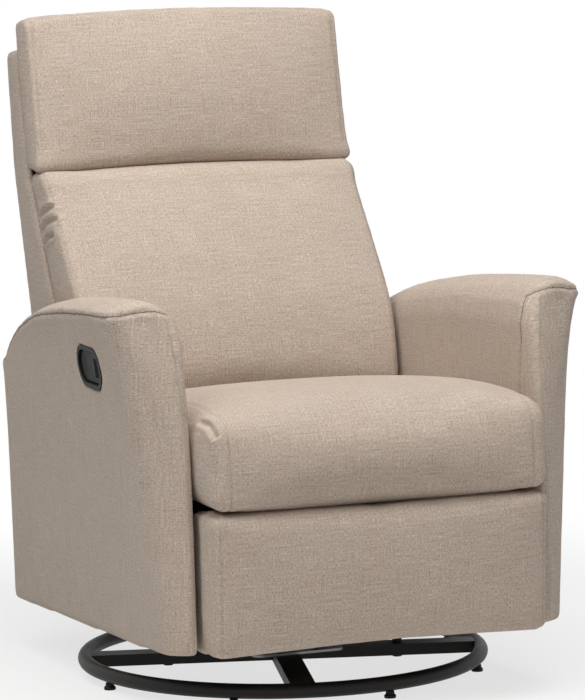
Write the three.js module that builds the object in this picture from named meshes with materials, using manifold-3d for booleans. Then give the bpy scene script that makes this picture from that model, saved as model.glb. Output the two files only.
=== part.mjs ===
// Swivel glider recliner, in millimetres. +Z is up, the sitter looks along -Y, and the swivel axis is at x = y = 0
// until the finished chair is moved to stand with the bottom centre of its box at the origin.
import * as THREE from 'three';
import { mergeVertices } from 'three/addons/utils/BufferGeometryUtils.js';
import Module from 'manifold-3d';

const wasm = await Module();
wasm.setup();

// Clearances that neighbouring pieces share
const seatGap = 0.3;
const pivotGap = 0.5;
const overrun = 6;

// Upholstered faces are never quite flat, and an edge that is drawn in keeps some of its length
const leastBulge = 0.02;
const insetShare = 0.7;

// Counts of facets
const pinSides = 12;
const ringSides = 8;
const ringSteps = 56;
const raceSides = 20;
const plateSteps = 6;
const cupSteps = 8;

// Rounded ends of the arms and cushions, and the stations, corners and sides of the cushions
const edgeAngles = [30, 60, 90];
const cushionShares = [0, 0.35, 0.65, 0.87];
const cushionSteps = {
  seat: { corner: 4, side: 4 },
  back: { corner: 3, side: 4 },
  headrest: { corner: 3, side: 5 },
  footrest: { corner: 4, side: 5 },
  shell: { corner: 2, side: 2 },
};

// Floor base
const ring = { radius: 309, tubeRadius: 11.5 };
const glide = { count: 8, height: 10.2, radius: 9, waist: 6.5, padHeight: 4, firstAngle: 9.5 };
const cross = { width: 38, height: 18, wall: 2.5, angle: -16 };
const crossBolt = { radius: 4, headRadius: 7.5, headHeight: 4, nutHeight: 6, circle: 180 };
const lowerPlate = { size: 150, thickness: 3.7, corner: 14 };
const race = { innerRadius: 48, outerRadius: 66, height: 13, groove: 3, sunk: 1 };
const pivot = { radius: 8, headRadius: 15, headHeight: 4 };

// The bolts stand on the bar that runs from arm to arm, counted in quarter turns
const crossBoltQuarters = [0, 2];

const ringHeight = glide.height + seatGap + ring.tubeRadius;
const crossTop = ringHeight + cross.height / 2;
const crossBottom = crossTop - cross.height;
const lowerPlateBottom = crossTop + seatGap;
const raceBottom = lowerPlateBottom + lowerPlate.thickness - race.sunk;

// Swivel frame and glide links
const upperPlate = { length: 190, width: 150, thickness: 5.7 };
const channel = { spacing: 140, width: 36, height: 22, wall: 3 };
const upright = { inner: 190, thickness: 4, halfLength: 104, shoulder: 34, height: 156, windowWall: 56 };
const glideLink = { length: 105, width: 24, thickness: 4, spacing: 180, lane: 2 };
const glidePin = { radius: 6, belowTop: 17.3 };

const upperPlateBottom = raceBottom + race.height + seatGap;
const channelBottom = upperPlateBottom + upperPlate.thickness + seatGap;
const uprightBottom = channelBottom + channel.height + seatGap;
const glideLinkInner = upright.inner + upright.thickness + glideLink.lane;
const glideTop = uprightBottom + upright.height - glidePin.belowTop;
const glideBottom = glideTop - glideLink.length;

// Chair body. The arm's sizes at its front and rear end are mixed along it.
const arm = {
  innerFace: 273,
  frontFace: -372,
  rearFace: 363,
  front: { foot: 101, thickness: 45, flare: 69, rise: 36, innerDrop: 45 },
  rear: { foot: 79, thickness: 53, flare: 12, rise: 20, innerDrop: 30 },
  lean: 79,
  edgeDepth: 24,
  edgeInset: 15,
  height: 596,
};

// Shares of the arm's lean and of its flare. The outer corner of the front leans back from its foot up.
const innerLeanShare = 0.6;
const cornerLeanShare = 0.34;
const leanEndShare = 0.6;
const straightFlareShare = 0.7;
const flareEndShare = 0.9;
const topCurveShares = { outer: 0.7, inner: 0.05 };
const leanPower = 3;
const flarePower = 9;
const armSteps = { outer: 9, top: 7, inner: 5 };
const armSeamSteps = 60;
const armStationShares = [0, 0.06, 0.13, 0.2, 0.28, 0.36, 0.45, 0.55, 0.64, 0.72, 0.79, 0.85, 0.9, 0.94, 0.97, 1];

// Outer seam of the arm's top in the side view, as shares of the rear face's place and of the arm's height
const armSeamShares = [
  [-0.807, 1],
  [-0.592, 0.998],
  [-0.149, 0.982],
  [0.116, 0.963],
  [0.41, 0.935],
  [0.661, 0.894],
  [0.821, 0.852],
  [0.931, 0.789],
  [1, 0.7],
];
const crossRail = { inner: 135, width: 22, height: 35, bottom: 100 };
const glideRail = { thickness: 4, height: 27 };
const basePlate = { thickness: 4, aboveSlot: 5, front: 150, rear: 172, corner: 24 };
const slide = { travel: 60, rise: 6, pinRadius: 7, frontPin: -20, rearPin: 140, height: 240 };

// Release lever in the right arm
const cup = { length: 118, height: 64, depth: 26, wall: 3, rim: 2, flange: 4, place: -134, centreHeight: 506 };
const cupSpan = 40;
const paddle = { thickness: 6, gap: 2, pinRadius: 2.5, pinInset: 7 };
const paddleLengthShare = 0.68;

// Seat
const seatRail = { outer: 233, width: 20, height: 20, bottom: 291, front: -312, rear: 215 };
const seatSpring = { count: 3, spacing: 130, wire: 2, swing: 26, waves: 7, steps: 6, sides: 5 };
const seatPlate = { thickness: 4, bottom: 225, front: -272, rear: 254, notch: 22 };
const seatPad = {
  halfWidth: 267,
  edge: 18,
  front: { y: -424, raised: 4, reach: 22 },
  foot: { y: 96, reach: 26 },
  rear: { y: 92, z: 424, reach: 34, lift: 8, bulge: 3 },
  crest: { y: -270, z: 461, reach: 80, lift: 17, bulge: 4 },
  nose: { y: -416, z: 447, reach: 42, lift: 8, bulge: 6 },
};
const cushionBottom = seatRail.bottom + seatRail.height + seatGap;
const backPivot = { y: 237, z: 262, radius: 8, boss: 17 };

// Leg linkage, each link between pivots in the side view
const leg = {
  lift: { y: -200, z: 286 },
  guide: { y: -251.5, z: 294.4 },
  crankLength: 140,
  crankAngle: -148.2,
  armLength: 215,
  armAngle: 5.5,
  guideReach: 55,
  width: 22,
  thickness: 4,
  lane: 6,
  pinRadius: 5,
  guidePlay: 2.5,
};
const driveTube = { radius: 9, reach: 70, wall: 2 };

// Footrest
const footrest = {
  halfWidth: 268,
  front: -420,
  back: -338,
  bottom: 97,
  top: 312,
  edge: 16,
  crown: 10,
  frontFoot: { inset: 8, reach: 24 },
  rearFoot: { raised: 4, reach: 22 },
  rearTop: { reach: 18 },
  frontTop: { reach: 17 },
};
const footBoard = { thickness: 15, halfWidth: 248, inset: 10 };
const footBracket = { thickness: 4, flange: 34, height: 78, below: 36 };

// Back
const backSize = { halfWidth: 270, depth: 500, height: 960 };
const shell = { wall: 14, edge: 8, corner: 13 };
const backPost = { width: 34, depth: 26, bottomShare: 0.198, belowTop: 22, outer: 238.7 };
const backRail = { height: 46, depth: 20, lowerShare: 0.344, upperShare: 0.922 };
const backBracket = { thickness: 4, width: 44, reachShare: 0.417 };

// Front face of the back's frame from its foot to its top and rear face of its shell from its top to its foot, as
// shares of the back's depth and height
const backFrontShares = [
  [0.636, 0.146],
  [0.584, 0.396],
  [0.532, 0.5],
  [0.572, 0.575],
  [0.808, 0.797],
  [0.892, 1],
];
const backRearShares = [
  [1, 0.995],
  [0.95, 0.794],
  [0.812, 0.555],
  [0.736, 0.359],
  [0.72, 0.146],
];

// Corners of the back's pads lie at shares of its depth and height
const backPad = {
  halfWidth: 269,
  edge: 11,
  foot: { yShare: 0.256, zShare: 0.429, reach: 20 },
  rearFoot: { behind: 36, zShare: 0.421, reach: 26 },
  rearStep: { zShare: 0.5125, reach: 24 },
  hollow: { reach: 4 },
  rearTop: { zShare: 0.797, reach: 22 },
  top: { yShare: 0.644, zShare: 0.797, reach: 18, bulge: 10 },
  bend: { yShare: 0.3, zShare: 0.568, reach: 50, bulge: 6 },
};
const headrest = {
  halfWidth: 271,
  edge: 9,
  foot: { yShare: 0.668, reach: 14 },
  rearFoot: { reach: 11 },
  shellTop: { reach: 10 },
  rearTop: { yShare: 0.898, zShare: 1.048, reach: 12, lift: 8, bulge: 3 },
  top: { yShare: 0.776, zShare: 1.056, reach: 18, lift: 10, bulge: 16 },
};

const side = (y, z) => new THREE.Vector2(y, z);
const radians = THREE.MathUtils.degToRad;

const fromShares = (shares, depth, height) => shares.map(([y, z]) => side(y * depth, z * height));
const backFront = fromShares(backFrontShares, backSize.depth, backSize.height);
const backRear = fromShares(backRearShares, backSize.depth, backSize.height);

// A corner of a pad, with its shares turned into places
function backCorner(corner, place = {}) {
  return { ...corner, y: backSize.depth * corner.yShare, z: backSize.height * corner.zShare, ...place };
}

const finish = {
  fabric: { color: 0xc9bca8, roughness: 0.95, metalness: 0 },
  steel: { color: 0x2b2927, roughness: 0.45, metalness: 0.7 },
  zinc: { color: 0xb4b4ae, roughness: 0.4, metalness: 0.9 },
  plastic: { color: 0x1c1b1a, roughness: 0.6, metalness: 0 },
  wood: { color: 0xc39a63, roughness: 0.7, metalness: 0 },
};

function piece(name, geometry, look) {
  const mesh = new THREE.Mesh(geometry, new THREE.MeshStandardMaterial(finish[look]));
  mesh.name = name;
  return mesh;
}

function toSolid(geometry) {
  const bare = geometry.clone();
  bare.deleteAttribute('normal');
  bare.deleteAttribute('uv');
  const welded = mergeVertices(bare);
  const vertProperties = Float32Array.from(welded.attributes.position.array);
  const triVerts = Uint32Array.from(welded.index.array);
  return new wasm.Manifold(new wasm.Mesh({ numProp: 3, vertProperties, triVerts }));
}

function toGeometry(solid) {
  const mesh = solid.getMesh();
  const geometry = new THREE.BufferGeometry();
  geometry.setAttribute('position', new THREE.BufferAttribute(mesh.vertProperties, 3));
  geometry.setIndex(new THREE.BufferAttribute(mesh.triVerts, 1));
  return geometry;
}

function cut(stock, ...tools) {
  let solid = toSolid(stock);
  for (const tool of tools) solid = solid.subtract(toSolid(tool));
  return toGeometry(solid);
}

function join(first, ...others) {
  let solid = toSolid(first);
  for (const other of others) solid = solid.add(toSolid(other));
  return toGeometry(solid);
}

function mirrored(geometry) {
  const copy = geometry.index ? geometry.toNonIndexed() : geometry.clone();
  const place = copy.attributes.position;
  for (let corner = 0; corner < place.count; corner += 3) {
    const first = new THREE.Vector3().fromBufferAttribute(place, corner);
    const last = new THREE.Vector3().fromBufferAttribute(place, corner + 2);
    const middle = new THREE.Vector3().fromBufferAttribute(place, corner + 1);
    place.setXYZ(corner, -last.x, last.y, last.z);
    place.setXYZ(corner + 1, -middle.x, middle.y, middle.z);
    place.setXYZ(corner + 2, -first.x, first.y, first.z);
  }
  return copy;
}

function block(x0, x1, y0, y1, z0, z1) {
  const geometry = new THREE.BoxGeometry(x1 - x0, y1 - y0, z1 - z0);
  return geometry.translate((x0 + x1) / 2, (y0 + y1) / 2, (z0 + z1) / 2);
}

function pinAlongX(radius, centre, x0, x1, sides = pinSides) {
  const geometry = new THREE.CylinderGeometry(radius, radius, x1 - x0, sides);
  return geometry.rotateZ(Math.PI / 2).translate((x0 + x1) / 2, centre.y, centre.z ?? 0);
}

function pinAlongZ(radius, x, y, z0, z1, sides = pinSides) {
  return new THREE.CylinderGeometry(radius, radius, z1 - z0, sides).rotateX(Math.PI / 2).translate(x, y, (z0 + z1) / 2);
}

// A flat plate drawn in the side view, standing between two places along X
function sidePlate(shape, x0, x1, curveSegments = plateSteps) {
  const geometry = new THREE.ExtrudeGeometry(shape, { depth: x1 - x0, bevelEnabled: false, curveSegments });
  const turn = new THREE.Matrix4().makeBasis(
    new THREE.Vector3(0, 1, 0),
    new THREE.Vector3(0, 0, 1),
    new THREE.Vector3(1, 0, 0),
  );
  return geometry.applyMatrix4(turn).translate(x0, 0, 0);
}

function roundHole(centre, radius) {
  return new THREE.Path().absarc(centre.y, centre.z, radius, 0, 2 * Math.PI, true);
}

// A strap with round ends between two pivots
function strap(from, to, width) {
  const along = Math.atan2(to.z - from.z, to.y - from.y);
  const shape = new THREE.Shape();
  shape.absarc(to.y, to.z, width / 2, along - Math.PI / 2, along + Math.PI / 2, false);
  shape.absarc(from.y, from.z, width / 2, along + Math.PI / 2, along + 3 * Math.PI / 2, false);
  return shape;
}

function slot(from, to, radius) {
  const along = Math.atan2(to.z - from.z, to.y - from.y);
  const path = new THREE.Path();
  path.absarc(to.y, to.z, radius, along - Math.PI / 2, along + Math.PI / 2, false);
  path.absarc(from.y, from.z, radius, along + Math.PI / 2, along + 3 * Math.PI / 2, false);
  return path;
}

// Corners hold y, z, the reach of their rounding, the bulge of the edge that follows them and the lift of the corner
// in the middle of a crowned piece. They go round from the front foot of the piece to its rear foot and up.
function softOutline(corners, crownShare, steps) {
  const places = corners.map((corner) => side(corner.y, corner.z + (corner.lift ?? 0) * crownShare));
  const points = [];
  const count = places.length;
  for (let number = 0; number < count; number += 1) {
    const here = places[number];
    const before = places[(number + count - 1) % count];
    const after = places[(number + 1) % count];
    const arrive = here.clone().add(before.clone().sub(here).setLength(corners[number].reach));
    const leave = here.clone().add(after.clone().sub(here).setLength(corners[number].reach));
    points.push(...new THREE.QuadraticBezierCurve(arrive, here, leave).getPoints(steps.corner));
    const nextReach = corners[(number + 1) % count].reach;
    const land = after.clone().add(here.clone().sub(after).setLength(nextReach));
    const normal = side(after.y - here.y, here.x - after.x).normalize();
    for (let step = 1; step < steps.side; step += 1) {
      const share = step / steps.side;
      const bulge = ((corners[number].bulge ?? 0) * crownShare + leastBulge) * 4 * share * (1 - share);
      points.push(leave.clone().lerp(land, share).add(normal.clone().multiplyScalar(bulge)));
    }
  }
  return points;
}

// Draws an outline in, and a tight corner only as far as its short edges allow
function inset(points, distance) {
  const count = points.length;
  const edges = points.map((point, number) => points[(number + 1) % count].clone().sub(point));
  const turns = edges.map((edge, number) => {
    const before = edges[(number + count - 1) % count];
    return Math.max(Math.atan2(before.cross(edge), before.dot(edge)), 0);
  });
  const room = edges.map((edge, number) => {
    const closing = Math.tan(turns[number] / 2) + Math.tan(turns[(number + 1) % count] / 2);
    return closing > 0 ? (insetShare * edge.length()) / closing : Infinity;
  });
  return points.map((point, number) => {
    const before = (number + count - 1) % count;
    const along = edges[before].clone().normalize().add(edges[number].clone().normalize()).normalize();
    const reach = Math.min(distance, room[before], room[number]);
    return point.clone().add(side(-along.y, along.x).multiplyScalar(reach));
  });
}

// Joins rings of as many points each, and closes both ends. capPlace turns a point into the plane of the ends.
function loft(rings, capPlace) {
  const size = rings[0].length;
  const index = [];
  for (let row = 0; row + 1 < rings.length; row += 1) {
    for (let number = 0; number < size; number += 1) {
      const next = (number + 1) % size;
      const low = row * size;
      const high = low + size;
      index.push(low + number, low + next, high + next, low + number, high + next, high + number);
    }
  }
  for (const row of [0, rings.length - 1]) {
    const flat = rings[row].map(capPlace);
    for (const [a, b, c] of THREE.ShapeUtils.triangulateShape(flat, [])) {
      const face = [row * size + a, row * size + b, row * size + c];
      const along = flat[a].clone().sub(flat[b]).cross(flat[c].clone().sub(flat[b]));
      const ringTurn = THREE.ShapeUtils.area(flat) > 0;
      const forward = along < 0 === ringTurn;
      index.push(...(forward === (row === 0) ? face.reverse() : face));
    }
  }
  const geometry = new THREE.BufferGeometry();
  geometry.setAttribute('position', new THREE.Float32BufferAttribute(rings.flat().flatMap((p) => p.toArray()), 3));
  geometry.setIndex(index);
  return outward(geometry);
}

function outward(geometry) {
  const place = geometry.attributes.position;
  const index = geometry.index.array;
  let volume = 0;
  for (let face = 0; face < index.length; face += 3) {
    const [a, b, c] = [0, 1, 2].map((corner) => new THREE.Vector3().fromBufferAttribute(place, index[face + corner]));
    volume += a.dot(b.cross(c));
  }
  if (volume < 0) geometry.setIndex(Array.from(index).reverse());
  return geometry;
}

// A cushion across the chair, with the same side view all the way and rounded, drawn-in ends
function crossCushion(corners, halfWidth, edge, steps) {
  const rightHalf = cushionShares.map((share) => ({ x: share * (halfWidth - edge), in: 0 }));
  for (const angle of [0, ...edgeAngles]) {
    const turn = radians(angle);
    rightHalf.push({ x: halfWidth - edge + edge * Math.sin(turn), in: edge * (1 - Math.cos(turn)) });
  }
  const leftHalf = rightHalf.slice(1).reverse().map((station) => ({ x: -station.x, in: station.in }));
  const rings = [...leftHalf, ...rightHalf].map((station) => {
    const crownShare = 1 - (station.x / halfWidth) ** 2;
    const outline = inset(softOutline(corners, crownShare, steps), station.in);
    return outline.map((point) => new THREE.Vector3(station.x, point.x, point.y));
  });
  return loft(rings, (point) => side(point.y, point.z));
}

function lineAt(line, height) {
  const upper = line.findIndex((point, number) => number > 0 && (point.y - height) * (line[number - 1].y - height) <= 0);
  const share = (height - line[upper - 1].y) / (line[upper].y - line[upper - 1].y);
  return line[upper - 1].clone().lerp(line[upper], share);
}

// Moves a line sideways, to the rear where it runs upward
function offsetLine(line, distance) {
  return line.map((point, number) => {
    const before = line[Math.max(number - 1, 0)];
    const after = line[Math.min(number + 1, line.length - 1)];
    const normal = side(after.y - before.y, before.x - after.x).normalize();
    return point.clone().add(normal.multiplyScalar(distance));
  });
}

function stepAlong(from, length, degrees) {
  const angle = radians(degrees);
  return { y: from.y - length * Math.cos(angle), z: from.z + length * Math.sin(angle) };
}

function baseRing() {
  return new THREE.TorusGeometry(ring.radius, ring.tubeRadius, ringSides, ringSteps).translate(0, 0, ringHeight);
}

function onCross(geometry, quarter) {
  return geometry.rotateZ(radians(cross.angle + 90 * quarter));
}

function baseCross() {
  const halfWidth = cross.width / 2;
  const holeReach = halfWidth - cross.wall;
  const bars = [];
  const bores = [];
  for (const quarter of [0, 1]) {
    bars.push(onCross(block(-ring.radius, ring.radius, -halfWidth, halfWidth, crossBottom, crossTop), quarter));
    const bore = block(
      -ring.radius - overrun,
      ring.radius + overrun,
      -holeReach,
      holeReach,
      crossBottom + cross.wall,
      crossTop - cross.wall,
    );
    bores.push(onCross(bore, quarter));
  }
  const holes = crossBoltQuarters.map((quarter) => {
    const radius = crossBolt.radius + pivotGap;
    return onCross(pinAlongZ(radius, crossBolt.circle, 0, crossBottom - overrun, crossTop + overrun), quarter);
  });
  const seat = new THREE.TorusGeometry(ring.radius, ring.tubeRadius + seatGap, ringSides, ringSteps);
  return cut(join(...bars), ...bores, ...holes, seat.translate(0, 0, ringHeight));
}

function boltOfCross(quarter) {
  const shankTop = crossTop + seatGap + crossBolt.nutHeight;
  const headTop = crossBottom - seatGap;
  const profile = [
    side(0, headTop - crossBolt.headHeight),
    side(crossBolt.headRadius, headTop - crossBolt.headHeight),
    side(crossBolt.headRadius, headTop),
    side(crossBolt.radius, headTop),
    side(crossBolt.radius, crossTop + seatGap),
    side(crossBolt.headRadius, crossTop + seatGap),
    side(crossBolt.headRadius, shankTop),
    side(0, shankTop),
  ];
  const bolt = new THREE.LatheGeometry(profile, pinSides).rotateX(Math.PI / 2).translate(crossBolt.circle, 0, 0);
  return onCross(bolt, quarter);
}

function glideFoot(number) {
  const profile = [
    side(0, 0),
    side(glide.radius, 0),
    side(glide.radius, glide.padHeight),
    side(glide.waist, glide.padHeight + glide.radius - glide.waist),
    side(glide.waist, glide.height),
    side(0, glide.height),
  ];
  const foot = new THREE.LatheGeometry(profile, pinSides).rotateX(Math.PI / 2).translate(ring.radius, 0, 0);
  return foot.rotateZ(radians(glide.firstAngle + (360 / glide.count) * number));
}

function roundedSquare(halfLength, halfWidth, corner) {
  const shape = new THREE.Shape();
  shape.absarc(halfLength - corner, halfWidth - corner, corner, 0, Math.PI / 2);
  shape.absarc(corner - halfLength, halfWidth - corner, corner, Math.PI / 2, Math.PI);
  shape.absarc(corner - halfLength, corner - halfWidth, corner, Math.PI, 1.5 * Math.PI);
  shape.absarc(halfLength - corner, corner - halfWidth, corner, 1.5 * Math.PI, 2 * Math.PI);
  return shape;
}

function bearingPlate(length, width, thickness, bottom) {
  const shape = roundedSquare(length / 2, width / 2, lowerPlate.corner);
  shape.holes.push(new THREE.Path().absarc(0, 0, pivot.radius + pivotGap, 0, 2 * Math.PI, true));
  const options = { depth: thickness, bevelEnabled: false, curveSegments: plateSteps };
  return new THREE.ExtrudeGeometry(shape, options).translate(0, 0, bottom);
}

function bearingRace() {
  const top = raceBottom + race.height;
  const middle = raceBottom + race.height / 2;
  const profile = [
    side(race.innerRadius, raceBottom),
    side(race.outerRadius, raceBottom),
    side(race.outerRadius, middle - race.groove),
    side(race.outerRadius - race.groove, middle),
    side(race.outerRadius, middle + race.groove),
    side(race.outerRadius, top),
    side(race.innerRadius, top),
    side(race.innerRadius, raceBottom),
  ];
  return new THREE.LatheGeometry(profile, raceSides).rotateX(Math.PI / 2);
}

function swivelPivot() {
  const plateTop = upperPlateBottom + upperPlate.thickness;
  const profile = [
    side(0, lowerPlateBottom),
    side(pivot.radius, lowerPlateBottom),
    side(pivot.radius, plateTop + seatGap),
    side(pivot.headRadius, plateTop + seatGap),
    side(pivot.headRadius, plateTop + seatGap + pivot.headHeight),
    side(0, plateTop + seatGap + pivot.headHeight),
  ];
  return new THREE.LatheGeometry(profile, pinSides).rotateX(Math.PI / 2);
}

function channelAcross(sign) {
  const halfWidth = channel.width / 2;
  const middle = (sign * channel.spacing) / 2;
  const top = channelBottom + channel.height;
  const halfLength = upright.inner + upright.thickness;
  const stock = block(-halfLength, halfLength, middle - halfWidth, middle + halfWidth, channelBottom, top);
  const trough = block(
    -halfLength - overrun,
    halfLength + overrun,
    middle - halfWidth + channel.wall,
    middle + halfWidth - channel.wall,
    channelBottom + channel.wall,
    top + overrun,
  );
  return cut(stock, trough);
}

function glidePivot(sign, height) {
  return { y: (sign * glideLink.spacing) / 2, z: height };
}

function uprightPlate() {
  const top = uprightBottom + upright.height;
  const wall = upright.windowWall;
  const shape = new THREE.Shape([
    side(-upright.halfLength, uprightBottom),
    side(upright.halfLength, uprightBottom),
    side(upright.halfLength, top - upright.shoulder / 2),
    side(upright.halfLength - upright.shoulder / 2, top),
    side(upright.shoulder / 2 - upright.halfLength, top),
    side(-upright.halfLength, top - upright.shoulder / 2),
  ]);
  const window = new THREE.Path([
    side(-upright.halfLength + wall, uprightBottom + wall),
    side(upright.shoulder - upright.halfLength + wall, top - wall),
    side(upright.halfLength - upright.shoulder - wall, top - wall),
    side(upright.halfLength - wall, uprightBottom + wall),
  ]);
  shape.holes.push(window);
  const outer = upright.inner + upright.thickness;
  const pinEnd = glideLinkInner + glideLink.thickness + seatGap;
  const pins = [-1, 1].map((sign) => {
    const centre = glidePivot(sign, glideTop);
    return pinAlongX(glidePin.radius, centre, outer - upright.thickness / 2, pinEnd);
  });
  return join(sidePlate(shape, upright.inner, outer), ...pins);
}

function glideLinkPlate(sign) {
  const top = glidePivot(sign, glideTop);
  const bottom = glidePivot(sign, glideBottom);
  const shape = strap(bottom, top, glideLink.width);
  shape.holes.push(roundHole(top, glidePin.radius + pivotGap), roundHole(bottom, glidePin.radius + pivotGap));
  return sidePlate(shape, glideLinkInner, glideLinkInner + glideLink.thickness);
}

function glideRailBar() {
  const inner = glideLinkInner + glideLink.thickness + glideLink.lane;
  const reach = crossRail.inner - seatGap;
  const low = glideBottom - glideLink.width / 2;
  const bar = block(inner, inner + glideRail.thickness, -reach, reach, low, low + glideRail.height);
  const pins = [-1, 1].map((sign) => {
    const centre = glidePivot(sign, glideBottom);
    return pinAlongX(glidePin.radius, centre, glideLinkInner - seatGap, inner + glideRail.thickness / 2);
  });
  return join(bar, ...pins);
}

function crossRailBar(sign) {
  const halfLength = arm.innerFace - seatGap;
  const near = sign * crossRail.inner;
  const far = sign * (crossRail.inner + crossRail.width);
  const top = crossRail.bottom + crossRail.height;
  return block(-halfLength, halfLength, Math.min(near, far), Math.max(near, far), crossRail.bottom, top);
}

function slideEnd(pin) {
  const rise = radians(slide.rise);
  return { y: pin.y - slide.travel * Math.cos(rise), z: pin.z + slide.travel * Math.sin(rise) };
}

function slidePins() {
  return [slide.frontPin, slide.rearPin].map((y) => ({ y, z: slide.height }));
}

function slottedBasePlate() {
  const outer = arm.innerFace - seatGap;
  const bottom = crossRail.bottom + crossRail.height + seatGap;
  const slotTop = slideEnd({ y: slide.rearPin, z: slide.height }).z + slide.pinRadius + pivotGap;
  const top = slotTop + basePlate.aboveSlot;
  const shape = new THREE.Shape([
    side(-basePlate.front, bottom),
    side(basePlate.rear, bottom),
    side(basePlate.rear, top - basePlate.corner),
    side(basePlate.rear - basePlate.corner, top),
    side(basePlate.corner - basePlate.front, top),
    side(-basePlate.front, top - basePlate.corner),
  ]);
  for (const pin of slidePins()) shape.holes.push(slot(pin, slideEnd(pin), slide.pinRadius + pivotGap));
  return sidePlate(shape, outer - basePlate.thickness, outer);
}

const armSeam = new THREE.SplineCurve(fromShares(armSeamShares, arm.rearFace, arm.height)).getPoints(armSeamSteps);

function armSeamHeight(y) {
  const next = Math.max(armSeam.findIndex((point) => point.x >= y), 1);
  const [before, after] = [armSeam[next - 1], armSeam[next]];
  return THREE.MathUtils.mapLinear(y, before.x, after.x, before.y, after.y);
}

// Sizes of the arm's section whose foot is at a share of the way from the front face to the rear one
function armAt(share) {
  const y = THREE.MathUtils.lerp(arm.frontFace, arm.rearFace, share);
  const lean = arm.lean * (1 - THREE.MathUtils.smoothstep(share, 0, leanEndShare));
  const mixed = (size) => THREE.MathUtils.lerp(arm.front[size], arm.rear[size], share);
  return {
    y,
    lean,
    top: armSeamHeight(y + lean),
    foot: mixed('foot'),
    thickness: mixed('thickness'),
    flare: THREE.MathUtils.lerp(arm.front.flare, arm.rear.flare, Math.min(share / flareEndShare, 1)),
    rise: mixed('rise'),
    innerDrop: mixed('innerDrop'),
  };
}

function armOuter(station, height) {
  const share = (height - station.foot) / (station.top - station.foot);
  const curl = straightFlareShare * share + (1 - straightFlareShare) * share ** flarePower;
  return arm.innerFace + station.thickness + station.flare * curl;
}

function armSection(station, inward) {
  const points = [];
  for (let step = 0; step <= armSteps.outer; step += 1) {
    const share = 1 - (1 - step / armSteps.outer) ** 2;
    const height = THREE.MathUtils.lerp(station.foot, station.top, share);
    points.push(side(armOuter(station, height), height));
  }
  const outerTop = points.at(-1);
  const innerTop = side(arm.innerFace, station.top - station.innerDrop);
  const width = outerTop.x - arm.innerFace;
  const high = station.top + station.rise;
  const overTop = new THREE.CubicBezierCurve(
    outerTop,
    side(arm.innerFace + topCurveShares.outer * width, high),
    side(arm.innerFace + topCurveShares.inner * width, high),
    innerTop,
  );
  points.push(...overTop.getPoints(armSteps.top).slice(1));
  for (let step = 1; step <= armSteps.inner; step += 1) {
    const share = step / armSteps.inner;
    const swell = leastBulge * 4 * share * (1 - share);
    points.push(side(arm.innerFace + swell, THREE.MathUtils.lerp(innerTop.y, station.foot, share)));
  }
  points.push(side(arm.innerFace + station.thickness / 2, station.foot - leastBulge));
  return inset(points, inward).map((point) => {
    const share = Math.max((point.y - station.foot) / (station.top - station.foot), 0);
    const outer = armOuter(station, Math.min(point.y, station.top)) - arm.innerFace;
    const across = THREE.MathUtils.clamp((point.x - arm.innerFace) / outer, 0, 1);
    const innerLean = innerLeanShare * share ** leanPower;
    const outerLean = THREE.MathUtils.lerp(cornerLeanShare, 1, share);
    const lean = station.lean * THREE.MathUtils.lerp(innerLean, outerLean, across ** 2);
    return new THREE.Vector3(point.x, station.y + lean, point.y);
  });
}

function armBody() {
  const length = arm.rearFace - arm.frontFace;
  const rings = [];
  const rounded = (share, degrees, sign) => {
    const turn = radians(degrees);
    const station = armAt(share);
    const y = station.y + sign * arm.edgeDepth * Math.sin(turn);
    rings.push(armSection({ ...station, y }, arm.edgeInset * (1 - Math.cos(turn))));
  };
  const edgeShare = arm.edgeDepth / length;
  for (const angle of edgeAngles.toReversed()) rounded(edgeShare, angle, -1);
  for (const share of armStationShares) {
    rings.push(armSection(armAt(THREE.MathUtils.lerp(edgeShare, 1 - edgeShare, share)), 0));
  }
  for (const angle of edgeAngles) rounded(1 - edgeShare, angle, 1);
  return loft(rings, (point) => side(point.x, point.z));
}

// Plane of the release cup on the flared outer face of the arm, built on the left and mirrored to the right
function cupPlane() {
  const low = armSurfaceAt(cup.place, cup.centreHeight - cupSpan);
  const high = armSurfaceAt(cup.place, cup.centreHeight + cupSpan);
  const front = armSurfaceAt(cup.place - cupSpan, cup.centreHeight);
  const rear = armSurfaceAt(cup.place + cupSpan, cup.centreHeight);
  const up = high.clone().sub(low).normalize();
  const back = rear.clone().sub(front).normalize();
  const out = back.clone().cross(up).normalize();
  const level = up.clone().cross(out).normalize();
  const centre = armSurfaceAt(cup.place, cup.centreHeight);
  return new THREE.Matrix4().makeBasis(level, up, out).setPosition(centre);
}

function armSurfaceAt(y, height) {
  const share = (y - arm.frontFace) / (arm.rearFace - arm.frontFace);
  return new THREE.Vector3(armOuter(armAt(share), height), y, height);
}

function stadium(halfLength, halfHeight) {
  const shape = new THREE.Shape();
  const straight = halfLength - halfHeight;
  shape.absarc(straight, 0, halfHeight, -Math.PI / 2, Math.PI / 2);
  shape.absarc(-straight, 0, halfHeight, Math.PI / 2, 1.5 * Math.PI);
  return shape;
}

function cupBlock(grow, from, to) {
  const shape = stadium(cup.length / 2 + grow, cup.height / 2 + grow);
  const options = { depth: to - from, bevelEnabled: false, curveSegments: cupSteps };
  return new THREE.ExtrudeGeometry(shape, options).translate(0, 0, from);
}

function leverCup(plane) {
  const body = cupBlock(-cup.flange, -cup.depth, cup.rim);
  const rim = cupBlock(0, -cup.rim, cup.rim);
  const hollow = cupBlock(-cup.flange - cup.wall, cup.wall - cup.depth, cup.rim + overrun);
  return cut(join(body, rim), hollow).applyMatrix4(plane);
}

function cupRecess(plane) {
  const body = cupBlock(seatGap - cup.flange, -cup.depth - seatGap, cup.rim + overrun);
  const rim = cupBlock(seatGap, -cup.rim - seatGap, cup.rim + overrun);
  return [body.applyMatrix4(plane), rim.clone().applyMatrix4(plane)];
}

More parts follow.
